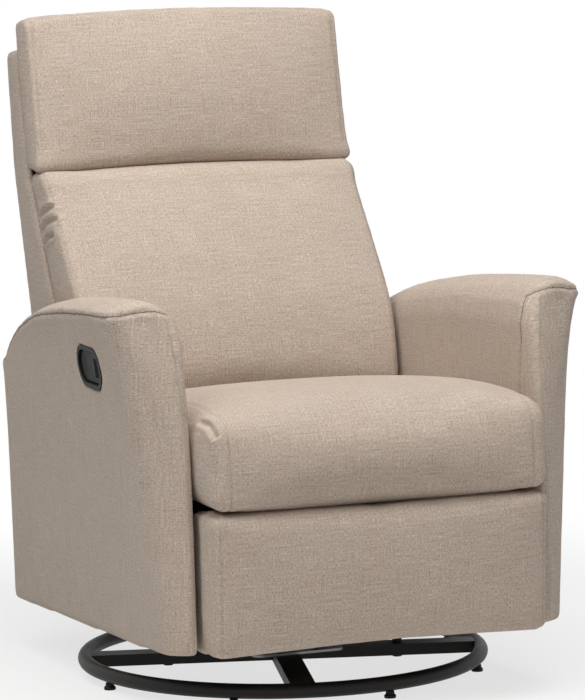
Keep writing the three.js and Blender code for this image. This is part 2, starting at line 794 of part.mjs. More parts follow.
// The paddle turns about an upright pin near the rear end of the cup
function leverPaddle() {
  const inside = cup.length / 2 - cup.flange - cup.wall - paddle.gap;
  const halfHeight = cup.height / 2 - cup.flange - cup.wall - paddle.gap;
  const length = 2 * inside * paddleLengthShare;
  const blade = new THREE.Shape();
  const straight = inside - halfHeight;
  blade.moveTo(inside - length, -halfHeight);
  blade.absarc(straight, 0, halfHeight, -Math.PI / 2, Math.PI / 2);
  blade.lineTo(inside - length, halfHeight);
  const options = { depth: paddle.thickness, bevelEnabled: false, curveSegments: cupSteps };
  const plate = new THREE.ExtrudeGeometry(blade, options).translate(0, 0, -paddle.thickness - paddle.gap);
  const fromArcCentre = halfHeight - paddle.pinInset + paddle.pinRadius;
  const wallReach = Math.sqrt((halfHeight + paddle.gap) ** 2 - fromArcCentre ** 2) - 2 * seatGap;
  const pin = new THREE.CylinderGeometry(paddle.pinRadius, paddle.pinRadius, 2 * wallReach, pinSides);
  return join(plate, pin.translate(inside - paddle.pinInset, 0, -paddle.gap - paddle.thickness / 2));
}

const plane = cupPlane();
const leftArm = armBody();
const rightArm = cut(leftArm, ...cupRecess(plane));

function seatFrame() {
  const inner = seatRail.outer - seatRail.width;
  const top = seatRail.bottom + seatRail.height;
  const stock = block(-seatRail.outer, seatRail.outer, seatRail.front, seatRail.rear, seatRail.bottom, top);
  const front = seatRail.front + seatRail.width;
  const rear = seatRail.rear - seatRail.width;
  return cut(stock, block(-inner, inner, front, rear, seatRail.bottom - overrun, top + overrun));
}

class SinuousWire extends THREE.Curve {
  constructor(x, from, to, height) {
    super();
    Object.assign(this, { x, from, to, height });
  }

  getPoint(share, target = new THREE.Vector3()) {
    const tail = 2 * seatSpring.wire;
    const y = THREE.MathUtils.lerp(this.from, this.to, share);
    const inside = THREE.MathUtils.clamp((y - this.from - tail) / (this.to - this.from - 2 * tail), 0, 1);
    const swing = seatSpring.swing * Math.sin(2 * Math.PI * seatSpring.waves * inside);
    return target.set(this.x + swing, y, this.height);
  }

  // Even steps along the chair keep the turns alike
  getPointAt(share, target) {
    return this.getPoint(share, target);
  }
}

function seatSpringWire(number) {
  const middle = (seatSpring.count - 1) / 2;
  const x = (number - middle) * seatSpring.spacing;
  const front = seatRail.front + seatRail.width + seatGap;
  const rear = seatRail.rear - seatRail.width - seatGap;
  const height = seatRail.bottom + seatRail.height / 2;
  const section = new THREE.Shape();
  for (let corner = 0; corner < seatSpring.sides; corner += 1) {
    const turn = (2 * Math.PI * corner) / seatSpring.sides;
    const point = [seatSpring.wire * Math.cos(turn), seatSpring.wire * Math.sin(turn)];
    if (corner === 0) section.moveTo(...point);
    else section.lineTo(...point);
  }
  section.closePath();
  return new THREE.ExtrudeGeometry(section, {
    steps: seatSpring.waves * seatSpring.steps,
    extrudePath: new SinuousWire(x, front, rear, height),
  });
}

function crankEnd() {
  return stepAlong(leg.lift, leg.crankLength, leg.crankAngle);
}

function seatPlateSide() {
  const inner = seatRail.outer + seatGap;
  const outer = inner + seatPlate.thickness;
  const top = seatRail.bottom + seatRail.height;
  const clear = driveTube.reach - driveTube.radius - leg.lane;
  const shape = new THREE.Shape([
    side(seatPlate.front, top),
    side(seatPlate.front, leg.guide.z - leg.width / 2 - seatGap),
    side(leg.lift.y - seatPlate.notch, leg.lift.z - leg.width),
    side(leg.lift.y + clear, leg.lift.z - leg.width),
    side(slide.frontPin - 2 * leg.width, seatPlate.bottom),
    side(slide.rearPin + 2 * leg.width, seatPlate.bottom),
    side(seatPlate.rear, backPivot.z - backPivot.boss),
    side(seatPlate.rear, top),
  ]);
  const crankOuter = outer + leg.lane;
  const armOuterFace = crankOuter + leg.lane;
  const guideOuter = armOuterFace + leg.lane;
  const start = outer - seatPlate.thickness / 2;
  const pins = [
    pinAlongX(leg.pinRadius, leg.lift, start, crankOuter),
    pinAlongX(leg.pinRadius, leg.guide, start, guideOuter),
    pinAlongX(backPivot.radius, backPivot, start, crankOuter),
    ...slidePins().map((pin) => pinAlongX(slide.pinRadius, pin, start, arm.innerFace - 2 * seatGap)),
  ];
  return join(sidePlate(shape, inner, outer), ...pins);
}

// The links lie in lanes side by side, counted outward from the seat plate
function laneStart(lane) {
  const plateOuter = seatRail.outer + seatGap + seatPlate.thickness;
  return plateOuter + leg.lane * (lane + 1) - leg.thickness - seatGap;
}

function crankLink() {
  const end = crankEnd();
  const shape = strap(leg.lift, end, leg.width);
  shape.holes.push(roundHole(leg.lift, leg.pinRadius + pivotGap));
  const x0 = laneStart(0);
  const x1 = x0 + leg.thickness;
  const pinEnd = laneStart(1) + leg.thickness + seatGap;
  return join(sidePlate(shape, x0, x1), pinAlongX(leg.pinRadius, end, x1 - leg.thickness / 2, pinEnd));
}

function longLink() {
  const start = crankEnd();
  const end = stepAlong(start, leg.armLength, leg.armAngle);
  const guideEnd = stepAlong(start, leg.guideReach, leg.armAngle);
  const shape = strap(start, end, leg.width);
  shape.holes.push(roundHole(start, leg.pinRadius + pivotGap));
  const x0 = laneStart(1);
  const x1 = x0 + leg.thickness;
  const pinEnd = laneStart(2) + leg.thickness + seatGap;
  const pins = [end, guideEnd].map((centre) => pinAlongX(leg.pinRadius, centre, x1 - leg.thickness / 2, pinEnd));
  return join(sidePlate(shape, x0, x1), ...pins);
}

function guideLink() {
  const guideEnd = stepAlong(crankEnd(), leg.guideReach, leg.armAngle);
  const shape = strap(leg.guide, guideEnd, leg.width);
  shape.holes.push(roundHole(leg.guide, leg.pinRadius + pivotGap), roundHole(guideEnd, leg.pinRadius + leg.guidePlay));
  const x0 = laneStart(2);
  return sidePlate(shape, x0, x0 + leg.thickness);
}

function driveTubeBar() {
  const centre = stepAlong(leg.lift, driveTube.reach, leg.crankAngle);
  const reach = laneStart(0) - seatGap;
  const tube = pinAlongX(driveTube.radius, centre, -reach, reach);
  const bore = pinAlongX(driveTube.radius - driveTube.wall, centre, -reach - overrun, reach + overrun);
  return cut(tube, bore);
}

function footPivot() {
  return stepAlong(crankEnd(), leg.armLength, leg.armAngle);
}

function footrestPad() {
  const corners = [
    { ...footrest.frontFoot, y: footrest.front + footrest.frontFoot.inset, z: footrest.bottom },
    { ...footrest.rearFoot, y: footrest.back, z: footrest.bottom + footrest.rearFoot.raised },
    { ...footrest.rearTop, y: footrest.back, z: footrest.top },
    { ...footrest.frontTop, y: footrest.front, z: footrest.top, bulge: footrest.crown },
  ];
  return crossCushion(corners, footrest.halfWidth, footrest.edge, cushionSteps.footrest);
}

function footrestBoard() {
  const front = footrest.back + seatGap;
  return block(
    -footBoard.halfWidth,
    footBoard.halfWidth,
    front,
    front + footBoard.thickness,
    footrest.bottom + footBoard.inset,
    footrest.top - footBoard.inset,
  );
}

function footrestBracket() {
  const centre = footPivot();
  const face = footrest.back + footBoard.thickness + 2 * seatGap;
  const inner = laneStart(2);
  const outer = inner + footBracket.thickness;
  const low = centre.z - footBracket.below;
  const high = low + footBracket.height;
  const shape = new THREE.Shape([
    side(face, low),
    side(face + footBracket.thickness, low),
    side(centre.y + leg.width / 2, centre.z - leg.width / 2),
    side(centre.y + leg.width / 2, centre.z + leg.width / 2),
    side(face + footBracket.thickness, high),
    side(face, high),
  ]);
  shape.holes.push(roundHole(centre, leg.pinRadius + pivotGap));
  const flange = block(outer - footBracket.flange, outer, face, face + footBracket.thickness, low, high);
  return join(sidePlate(shape, inner, outer), flange);
}

function seatCushion() {
  const corners = [
    { ...seatPad.front, z: cushionBottom + seatPad.front.raised },
    { ...seatPad.foot, z: cushionBottom },
    seatPad.rear,
    seatPad.crest,
    seatPad.nose,
  ];
  return crossCushion(corners, seatPad.halfWidth, seatPad.edge, cushionSteps.seat);
}

function backShell() {
  const corners = [...backFront, ...backRear];
  const plain = corners.map((point) => ({ y: point.x, z: point.y, reach: shell.corner }));
  const outer = crossCushion(plain.reverse(), backSize.halfWidth, shell.edge, cushionSteps.shell);
  const rearInside = offsetLine(backRear, shell.wall);
  const frontOutside = offsetLine(backFront, -overrun);
  const foot = backFront[0].y + shell.wall;
  const cavity = new THREE.Shape([
    ...frontOutside.slice(1, -1),
    side(frontOutside.at(-1).x, backRear[0].y - shell.wall),
    side(rearInside[0].x, backRear[0].y - shell.wall),
    ...rearInside.slice(1, -1),
    side(rearInside.at(-1).x, foot),
    side(frontOutside[0].x, foot),
  ]);
  const reach = backSize.halfWidth - shell.wall;
  return cut(outer, sidePlate(cavity, -reach, reach));
}

function strip(line, low, high, depth) {
  const inside = line.filter((point) => point.y > low && point.y < high);
  const front = [lineAt(line, low), ...inside, lineAt(line, high)];
  const rear = offsetLine(front, depth).reverse();
  return new THREE.Shape([...front, ...rear]);
}

function backPostBar() {
  const top = backFront.at(-1).y - backPost.belowTop;
  const shape = strip(offsetLine(backFront, seatGap), backSize.height * backPost.bottomShare, top, backPost.depth);
  return sidePlate(shape, backPost.outer - backPost.width, backPost.outer);
}

function backRailBar(low) {
  const shape = strip(offsetLine(backFront, seatGap), low, low + backRail.height, backRail.depth);
  const reach = backPost.outer - backPost.width - seatGap;
  return sidePlate(shape, -reach, reach);
}

function backBracketPlate() {
  const inner = laneStart(0);
  const top = lineAt(backFront, backSize.height * backBracket.reachShare);
  const foot = lineAt(backFront, backPivot.z + backBracket.width);
  const shape = new THREE.Shape();
  shape.moveTo(top.x + backPost.depth, top.y);
  shape.lineTo(top.x + overrun, top.y);
  shape.lineTo(foot.x, foot.y);
  shape.absarc(backPivot.y, backPivot.z, backPivot.boss, Math.PI / 2, 1.5 * Math.PI, false);
  shape.lineTo(foot.x + backPost.depth, backPivot.z);
  shape.holes.push(roundHole(backPivot, backPivot.radius + pivotGap));
  return sidePlate(shape, inner, inner + backBracket.thickness);
}

function backCushion() {
  const seat = offsetLine(backFront, -seatGap);
  const [, , , hollow] = seat;
  const rearStep = lineAt(seat, backSize.height * backPad.rearStep.zShare);
  const rearTop = lineAt(seat, backSize.height * backPad.rearTop.zShare);
  const corners = [
    backCorner(backPad.foot),
    backCorner(backPad.rearFoot, { y: rearStep.x - backPad.rearFoot.behind }),
    backCorner(backPad.rearStep, { y: rearStep.x }),
    backCorner(backPad.hollow, { y: hollow.x, z: hollow.y }),
    backCorner(backPad.rearTop, { y: rearTop.x }),
    backCorner(backPad.top),
    backCorner(backPad.bend),
  ];
  return crossCushion(corners, backPad.halfWidth, backPad.edge, cushionSteps.back);
}

// The headrest sits on the back cushion, and its top stands free above the shell
function headrestCushion() {
  const seat = offsetLine(backFront, -seatGap);
  const bottom = backSize.height * backPad.rearTop.zShare + seatGap;
  const shellTop = seat.at(-1);
  const corners = [
    backCorner(headrest.foot, { z: bottom }),
    backCorner(headrest.rearFoot, { y: lineAt(seat, bottom).x, z: bottom }),
    backCorner(headrest.shellTop, { y: shellTop.x, z: shellTop.y }),
    backCorner(headrest.rearTop),
    backCorner(headrest.top),
  ];
  return crossCushion(corners, headrest.halfWidth, headrest.edge, cushionSteps.headrest);
}

const chair = new THREE.Group();

chair.add(piece('base_ring', baseRing(), 'steel'));
chair.add(piece('base_cross', baseCross(), 'steel'));
for (let number = 0; number < glide.count; number += 1) {
  chair.add(piece(`glide_foot_${number + 1}`, glideFoot(number), 'plastic'));
}
crossBoltQuarters.forEach((quarter, number) => {
  chair.add(piece(`cross_bolt_${number + 1}`, boltOfCross(quarter), 'steel'));
});
const lowerPlateShape = bearingPlate(lowerPlate.size, lowerPlate.size, lowerPlate.thickness, lowerPlateBottom);
chair.add(piece('lower_bearing_plate', join(lowerPlateShape, bearingRace()), 'zinc'));
chair.add(piece('swivel_pivot', swivelPivot(), 'zinc'));

const upperPlateShape = bearingPlate(upperPlate.length, upperPlate.width, upperPlate.thickness, upperPlateBottom);
chair.add(piece('upper_bearing_plate', upperPlateShape, 'steel'));
chair.add(piece('front_channel', channelAcross(-1), 'steel'));
chair.add(piece('rear_channel', channelAcross(1), 'steel'));

// Pieces that come in pairs are drawn on the sitter's left, at +X, and mirrored to the right
function pair(name, geometry, look) {
  chair.add(piece(`left_${name}`, geometry, look));
  chair.add(piece(`right_${name}`, mirrored(geometry), look));
}

pair('upright', uprightPlate(), 'steel');
pair('front_glide_link', glideLinkPlate(-1), 'steel');
pair('rear_glide_link', glideLinkPlate(1), 'steel');
pair('glide_rail', glideRailBar(), 'steel');
chair.add(piece('front_cross_rail', crossRailBar(-1), 'wood'));
chair.add(piece('rear_cross_rail', crossRailBar(1), 'wood'));
pair('base_plate', slottedBasePlate(), 'steel');
chair.add(piece('left_arm', leftArm, 'fabric'));
chair.add(piece('right_arm', mirrored(rightArm), 'fabric'));
chair.add(piece('lever_cup', mirrored(leverCup(plane)), 'plastic'));
chair.add(piece('lever_paddle', mirrored(leverPaddle().applyMatrix4(plane)), 'plastic'));

chair.add(piece('seat_frame', seatFrame(), 'steel'));
for (let number = 0; number < seatSpring.count; number += 1) {
  chair.add(piece(`seat_spring_${number + 1}`, seatSpringWire(number), 'steel'));
}
pair('seat_plate', seatPlateSide(), 'steel');
chair.add(piece('seat_cushion', seatCushion(), 'fabric'));

pair('crank_link', crankLink(), 'steel');
chair.add(piece('drive_tube', driveTubeBar(), 'steel'));
pair('long_link', longLink(), 'steel');
pair('guide_link', guideLink(), 'steel');
pair('foot_bracket', footrestBracket(), 'steel');
chair.add(piece('footrest_board', footrestBoard(), 'wood'));
chair.add(piece('footrest_pad', footrestPad(), 'fabric'));

chair.add(piece('back_shell', backShell(), 'fabric'));
pair('back_post', backPostBar(), 'wood');
chair.add(piece('lower_back_rail', backRailBar(backSize.height * backRail.lowerShare), 'wood'));
chair.add(piece('upper_back_rail', backRailBar(backSize.height * backRail.upperShare), 'wood'));
pair('back_bracket', backBracketPlate(), 'steel');
chair.add(piece('back_cushion', backCushion(), 'fabric'));
chair.add(piece('headrest_cushion', headrestCushion(), 'fabric'));

// The origin is the bottom centre of the chair's box
const box = new THREE.Box3().setFromObject(chair);
const middle = box.getCenter(new THREE.Vector3());
chair.position.set(-middle.x, -middle.y, -box.min.z);

export default chair;
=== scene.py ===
# Swivel glider recliner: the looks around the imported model, in metres
import bmesh
import bpy
import math
import numpy as np
from mathutils import Matrix, Vector, noise
from mathutils.bvhtree import BVHTree
from mathutils.kdtree import KDTree


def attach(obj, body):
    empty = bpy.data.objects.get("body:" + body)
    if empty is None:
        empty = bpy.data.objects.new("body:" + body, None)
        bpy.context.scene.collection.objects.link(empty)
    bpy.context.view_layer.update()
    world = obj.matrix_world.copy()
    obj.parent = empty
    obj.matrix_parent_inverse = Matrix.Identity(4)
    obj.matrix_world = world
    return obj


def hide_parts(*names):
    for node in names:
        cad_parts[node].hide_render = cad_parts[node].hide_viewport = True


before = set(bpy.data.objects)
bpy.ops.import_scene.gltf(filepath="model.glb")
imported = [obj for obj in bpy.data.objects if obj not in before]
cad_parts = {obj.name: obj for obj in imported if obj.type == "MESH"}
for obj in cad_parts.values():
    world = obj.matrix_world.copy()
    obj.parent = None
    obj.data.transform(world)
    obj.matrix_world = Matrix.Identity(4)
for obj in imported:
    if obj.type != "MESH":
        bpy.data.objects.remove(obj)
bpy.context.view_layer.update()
print("frame loaded:", len(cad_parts), "nodes")

# camera fitted to the photograph, which is 585 x 700 pixels
cameraSet = {
    "place": (-2.2139, -5.6507, 1.1835),
    "azimuth": -21.75,  # degrees round from the front
    "elevation": 6.49,
    "roll": -1.14,
    "lens": 201.4,  # on a 36 mm long side
}


def addCamera(settings):
    azimuth = math.radians(settings["azimuth"])
    elevation = math.radians(settings["elevation"])
    back = Vector((
        math.sin(azimuth) * math.cos(elevation),
        -math.cos(azimuth) * math.cos(elevation),
        math.sin(elevation),
    ))
    right = (-back).cross(Vector((0, 0, 1))).normalized()
    up = right.cross(-back)
    roll = math.radians(settings["roll"])
    rolledRight = right * math.cos(roll) + up * math.sin(roll)
    rolledUp = up * math.cos(roll) - right * math.sin(roll)
    turn = Matrix((rolledRight, rolledUp, back)).transposed().to_4x4()
    data = bpy.data.cameras.new("photoCamera")
    data.sensor_width = 36
    data.lens = settings["lens"]
    data.clip_end = 50
    camera = bpy.data.objects.new("photoCamera", data)
    bpy.context.scene.collection.objects.link(camera)
    camera.matrix_world = Matrix.Translation(settings["place"]) @ turn
    bpy.context.scene.camera = camera


addCamera(cameraSet)
bpy.context.scene.view_settings.view_transform = "Standard"
print("camera placed")

lightSet = {
    "overhead": {"place": (0.0, -0.4, 3.4), "size": 2.2, "watts": 46},
    "front": {"place": (0.0, -1.8, 3.2), "size": 2.2, "watts": 49},
    "left": {"place": (-1.8, -0.8, 3.0), "size": 2.2, "watts": 43},
    "aim": (0.0, 0.0, 0.5),
    "world": 0.06,
}


def addLights(settings):
    for name in ("overhead", "front", "left"):
        entry = settings[name]
        data = bpy.data.lights.new(name + "Light", "AREA")
        data.energy = entry["watts"]
        data.size = entry["size"]
        lamp = bpy.data.objects.new(name + "Light", data)
        bpy.context.scene.collection.objects.link(lamp)
        lamp.location = entry["place"]
        aim = Vector(settings["aim"]) - Vector(entry["place"])
        lamp.rotation_euler = aim.to_track_quat("-Z", "Y").to_euler()
    world = bpy.data.worlds.new("studio")
    bpy.context.scene.world = world
    world.use_nodes = True
    tree = world.node_tree
    tree.nodes.clear()
    out = tree.nodes.new("ShaderNodeOutputWorld")
    soft = tree.nodes.new("ShaderNodeBackground")
    soft.inputs["Color"].default_value = (0.97, 0.98, 1.0, 1)
    soft.inputs["Strength"].default_value = settings["world"]
    white = tree.nodes.new("ShaderNodeBackground")
    white.inputs["Color"].default_value = (1, 1, 1, 1)
    path = tree.nodes.new("ShaderNodeLightPath")
    seen = tree.nodes.new("ShaderNodeMath")
    seen.operation = "MAXIMUM"
    mix = tree.nodes.new("ShaderNodeMixShader")
    tree.links.new(path.outputs["Is Camera Ray"], seen.inputs[0])
    tree.links.new(path.outputs["Is Glossy Ray"], seen.inputs[1])
    tree.links.new(seen.outputs[0], mix.inputs["Fac"])
    tree.links.new(soft.outputs[0], mix.inputs[1])
    tree.links.new(white.outputs[0], mix.inputs[2])
    tree.links.new(mix.outputs[0], out.inputs["Surface"])


addLights(lightSet)
print("lights placed")


def newMaterial(name):
    material = bpy.data.materials.new(name)
    material.use_nodes = True
    tree = material.node_tree
    tree.nodes.clear()
    out = tree.nodes.new("ShaderNodeOutputMaterial")
    shader = tree.nodes.new("ShaderNodeBsdfPrincipled")
    tree.links.new(shader.outputs[0], out.inputs["Surface"])
    return material, tree, shader


def mathNode(tree, operation, first, second=None, third=None, clamp=False):
    node = tree.nodes.new("ShaderNodeMath")
    node.operation = operation
    node.use_clamp = clamp
    for place, value in enumerate((first, second, third)):
        if value is None:
            continue
        if isinstance(value, (int, float)):
            node.inputs[place].default_value = value
        else:
            tree.links.new(value, node.inputs[place])
    return node.outputs[0]


def mixColors(tree, share, first, second, blend="MIX"):
    node = tree.nodes.new("ShaderNodeMix")
    node.data_type = "RGBA"
    node.blend_type = blend
    sockets = (node.inputs["Factor"], node.inputs[6], node.inputs[7])
    for socket, value in zip(sockets, (share, first, second)):
        if isinstance(value, (int, float)):
            socket.default_value = value
        elif isinstance(value, tuple):
            socket.default_value = (*value, 1)
        else:
            tree.links.new(value, socket)
    return node.outputs[2]


def noiseNode(tree, place, scale, detail=2.0, roughness=0.5):
    node = tree.nodes.new("ShaderNodeTexNoise")
    node.inputs["Scale"].default_value = scale
    node.inputs["Detail"].default_value = detail
    node.inputs["Roughness"].default_value = roughness
    tree.links.new(place, node.inputs["Vector"])
    return node.outputs["Fac"]


def spreadOf(tree, value, low, high):
    node = tree.nodes.new("ShaderNodeMapRange")
    node.interpolation_type = "SMOOTHSTEP"
    node.inputs["From Min"].default_value = low
    node.inputs["From Max"].default_value = high
    tree.links.new(value, node.inputs["Value"])
    return node.outputs["Result"]


def stretchedPlace(tree, place, scale):
    node = tree.nodes.new("ShaderNodeMapping")
    node.inputs["Scale"].default_value = scale
    tree.links.new(place, node.inputs["Vector"])
    return node.outputs[0]


def bumpNode(tree, height, distance, strength=1.0):
    node = tree.nodes.new("ShaderNodeBump")
    node.inputs["Distance"].default_value = distance
    node.inputs["Strength"].default_value = strength
    tree.links.new(height, node.inputs["Height"])
    return node.outputs[0]


linenSet = {
    "plain": (0.592, 0.487, 0.400),
    "dark": (0.420, 0.318, 0.240),
    "light": (0.76, 0.675, 0.590),
    # the seam colour is painted shade, laid along the grooves of seams and pleats
    "seam": (0.23, 0.175, 0.13),
    "seamShadeShare": 0.55,
    "thinShare": 0.60,
    "thickShare": 0.55,
    "threadPitch": 0.0013,
    "slubLength": 0.048,
    "slubWidth": 0.0015,
    "weaveDepth": 0.00026,
    "grain": 0.58,
    "rosy": (1.0, 0.968, 0.945),
    "sheen": 0.18,
}


def makeLinen(settings):
    material, tree, shader = newMaterial("slubLinen")
    cloth = tree.nodes.new("ShaderNodeUVMap")
    cloth.uv_map = "cloth"
    whole = tree.nodes.new("ShaderNodeTexCoord").outputs["Object"]
    wander = tree.nodes.new("ShaderNodeTexNoise")  # threads are never quite straight
    wander.inputs["Scale"].default_value = 9
    tree.links.new(cloth.outputs[0], wander.inputs["Vector"])
    drift = tree.nodes.new("ShaderNodeVectorMath")
    drift.operation = "MULTIPLY_ADD"
    drift.inputs[1].default_value = (0.0035, 0.0035, 0)
    tree.links.new(wander.outputs["Color"], drift.inputs[0])
    tree.links.new(cloth.outputs[0], drift.inputs[2])
    place = drift.outputs[0]
    long = 1 / settings["slubLength"]
    wide = 1 / settings["slubWidth"]
    weft = noiseNode(tree, stretchedPlace(tree, place, (long, wide, 1)), 1.0, 1.5)
    warp = noiseNode(tree, stretchedPlace(tree, place, (wide, long, 1)), 1.0, 1.5)
    thick = mathNode(tree, "MAXIMUM", spreadOf(tree, weft, 0.53, 0.75), spreadOf(tree, warp, 0.56, 0.78))
    thin = mathNode(tree, "MAXIMUM", spreadOf(tree, weft, 0.47, 0.25), spreadOf(tree, warp, 0.45, 0.25))
    split = tree.nodes.new("ShaderNodeSeparateXYZ")
    tree.links.new(place, split.inputs[0])
    turns = 2 * math.pi / settings["threadPitch"]
    across = mathNode(tree, "SINE", mathNode(tree, "MULTIPLY", split.outputs["X"], turns))
    along = mathNode(tree, "SINE", mathNode(tree, "MULTIPLY", split.outputs["Y"], turns))
    weave = mathNode(tree, "MULTIPLY_ADD", mathNode(tree, "MULTIPLY", across, along), 0.5, 0.5)
    darker = mathNode(tree, "MULTIPLY", thin, settings["thinShare"])
    color = mixColors(tree, darker, settings["plain"], settings["dark"])
    lighter = mathNode(tree, "MULTIPLY", thick, settings["thickShare"])
    color = mixColors(tree, lighter, color, settings["light"])
    gap = mathNode(tree, "MULTIPLY_ADD", weave, 0.16, 0.84)
    color = mixColors(tree, 1.0, color, gap, "MULTIPLY")
    knots = noiseNode(tree, stretchedPlace(tree, place, (330, 560, 1)), 1.0, 1.0)  # where threads cross
    pile = noiseNode(tree, stretchedPlace(tree, place, (620, 210, 1)), 1.0, 0.0)
    both = mathNode(tree, "ADD", knots, pile)
    grain = mathNode(tree, "MULTIPLY_ADD", both, settings["grain"], 1 - settings["grain"])
    color = mixColors(tree, 1.0, color, grain, "MULTIPLY")
    drifted = spreadOf(tree, noiseNode(tree, whole, 9.0, 2.0), 0.40, 0.62)  # the dye lot wanders a little
    color = mixColors(tree, mathNode(tree, "MULTIPLY", drifted, 0.30), color, settings["rosy"], "MULTIPLY")
    broad = mathNode(tree, "MULTIPLY_ADD", noiseNode(tree, whole, 5.5, 3.0), 0.10, 0.95)
    color = mixColors(tree, 1.0, color, broad, "MULTIPLY")
    # painted shade along the grooves of seams and pleats, carried by the seam attribute
    seam = tree.nodes.new("ShaderNodeAttribute")
    seam.attribute_name = "seam"
    seamShade = mathNode(tree, "MULTIPLY", seam.outputs["Fac"], settings["seamShadeShare"], clamp=True)
    color = mixColors(tree, seamShade, color, settings["seam"])
    tree.links.new(color, shader.inputs["Base Color"])
    height = mathNode(tree, "MULTIPLY_ADD", thick, 0.6, weave)
    height = mathNode(tree, "SUBTRACT", height, mathNode(tree, "MULTIPLY", thin, 0.5))
    tree.links.new(bumpNode(tree, height, settings["weaveDepth"], 0.9), shader.inputs["Normal"])
    rough = mathNode(tree, "MULTIPLY_ADD", weave, 0.1, 0.82)
    tree.links.new(rough, shader.inputs["Roughness"])
    shader.inputs["Sheen Weight"].default_value = settings["sheen"]
    shader.inputs["Sheen Roughness"].default_value = 0.45
    shader.inputs["Specular IOR Level"].default_value = 0.25
    return material


linen = makeLinen(linenSet)
print("linen woven")


steelSet = {
    "paint": (0.011, 0.0095, 0.0085), "paler": (0.020, 0.0175, 0.016), "dust": (0.09, 0.085, 0.075),
    "roughness": 0.52, "peel": 900, "peelDepth": 0.00004,
    "nodes": [
        "base_ring", "base_cross", "cross_bolt_1", "cross_bolt_2", "upper_bearing_plate", "front_channel",
        "rear_channel", "left_upright", "right_upright", "left_glide_rail", "right_glide_rail",
        "left_base_plate", "right_base_plate", "seat_frame", "left_seat_plate", "right_seat_plate",
        "left_back_bracket", "right_back_bracket",
        "left_front_glide_link", "right_front_glide_link", "left_rear_glide_link",
        "right_rear_glide_link", "left_crank_link", "right_crank_link", "drive_tube", "left_long_link",
        "right_long_link", "left_guide_link", "right_guide_link", "left_foot_bracket", "right_foot_bracket",
    ],
}


def makePaintedSteel(settings):
    material, tree, shader = newMaterial("blackPaintedSteel")
    place = tree.nodes.new("ShaderNodeTexCoord").outputs["Object"]
    cloudy = noiseNode(tree, place, 26, 4.0, 0.6)
    tint = mixColors(tree, spreadOf(tree, cloudy, 0.35, 0.75), settings["paint"], settings["paler"])
    dust = spreadOf(tree, noiseNode(tree, place, 240, 3.0, 0.7), 0.66, 0.80)
    dusty = mixColors(tree, mathNode(tree, "MULTIPLY", dust, 0.25), tint, settings["dust"])
    tree.links.new(dusty, shader.inputs["Base Color"])
    rough = mathNode(tree, "MULTIPLY_ADD", cloudy, 0.22, settings["roughness"] - 0.11)
    tree.links.new(rough, shader.inputs["Roughness"])
    peel = noiseNode(tree, place, settings["peel"], 2.0)
    tree.links.new(bumpNode(tree, peel, settings["peelDepth"]), shader.inputs["Normal"])
    shader.inputs["Specular IOR Level"].default_value = 0.28
    return material


zincSet = {
    "plate": (0.30, 0.30, 0.29), "spangle": (0.20, 0.205, 0.21),
    "nodes": ["lower_bearing_plate", "swivel_pivot", "seat_spring_1", "seat_spring_2", "seat_spring_3"],
}


def makeZinc(settings):
    material, tree, shader = newMaterial("zincPlate")
    place = tree.nodes.new("ShaderNodeTexCoord").outputs["Object"]
    spangle = tree.nodes.new("ShaderNodeTexVoronoi")
    spangle.inputs["Scale"].default_value = 190
    tree.links.new(place, spangle.inputs["Vector"])
    tone = tree.nodes.new("ShaderNodeSeparateColor")
    tree.links.new(spangle.outputs["Color"], tone.inputs[0])
    share = mathNode(tree, "MULTIPLY", tone.outputs[0], 0.35)
    plated = mixColors(tree, share, settings["plate"], settings["spangle"])
    tree.links.new(plated, shader.inputs["Base Color"])
    rough = mathNode(tree, "MULTIPLY_ADD", noiseNode(tree, place, 60, 3.0), 0.25, 0.34)
    tree.links.new(rough, shader.inputs["Roughness"])
    shader.inputs["Metallic"].default_value = 1.0
    tree.links.new(bumpNode(tree, noiseNode(tree, place, 700, 2.0), 0.00003), shader.inputs["Normal"])
    return material


plasticSet = {
    "body": (0.007, 0.0065, 0.006), "worn": (0.018, 0.017, 0.016), "grain": 1100, "grainDepth": 0.00006,
    "nodes": ["lever_cup", "lever_paddle", *["glide_foot_" + str(number) for number in range(1, 9)]],
}


def makeMouldedPlastic(settings):
    material, tree, shader = newMaterial("mouldedPlastic")
    place = tree.nodes.new("ShaderNodeTexCoord").outputs["Object"]
    cells = tree.nodes.new("ShaderNodeTexVoronoi")
    cells.inputs["Scale"].default_value = settings["grain"]
    tree.links.new(place, cells.inputs["Vector"])
    grained = bumpNode(tree, cells.outputs["Distance"], settings["grainDepth"], 0.8)
    tree.links.new(grained, shader.inputs["Normal"])
    worn = spreadOf(tree, noiseNode(tree, place, 90, 4.0, 0.65), 0.45, 0.8)
    share = mathNode(tree, "MULTIPLY", worn, 0.5)
    tree.links.new(mixColors(tree, share, settings["body"], settings["worn"]), shader.inputs["Base Color"])
    tree.links.new(mathNode(tree, "MULTIPLY_ADD", worn, -0.12, 0.62), shader.inputs["Roughness"])
    shader.inputs["Specular IOR Level"].default_value = 0.22
    return material


woodSet = {
    "early": (0.52, 0.355, 0.19), "late": (0.36, 0.215, 0.10),
    "rails": ["front_cross_rail", "rear_cross_rail", "lower_back_rail", "upper_back_rail"],
    "posts": ["left_back_post", "right_back_post"],
}


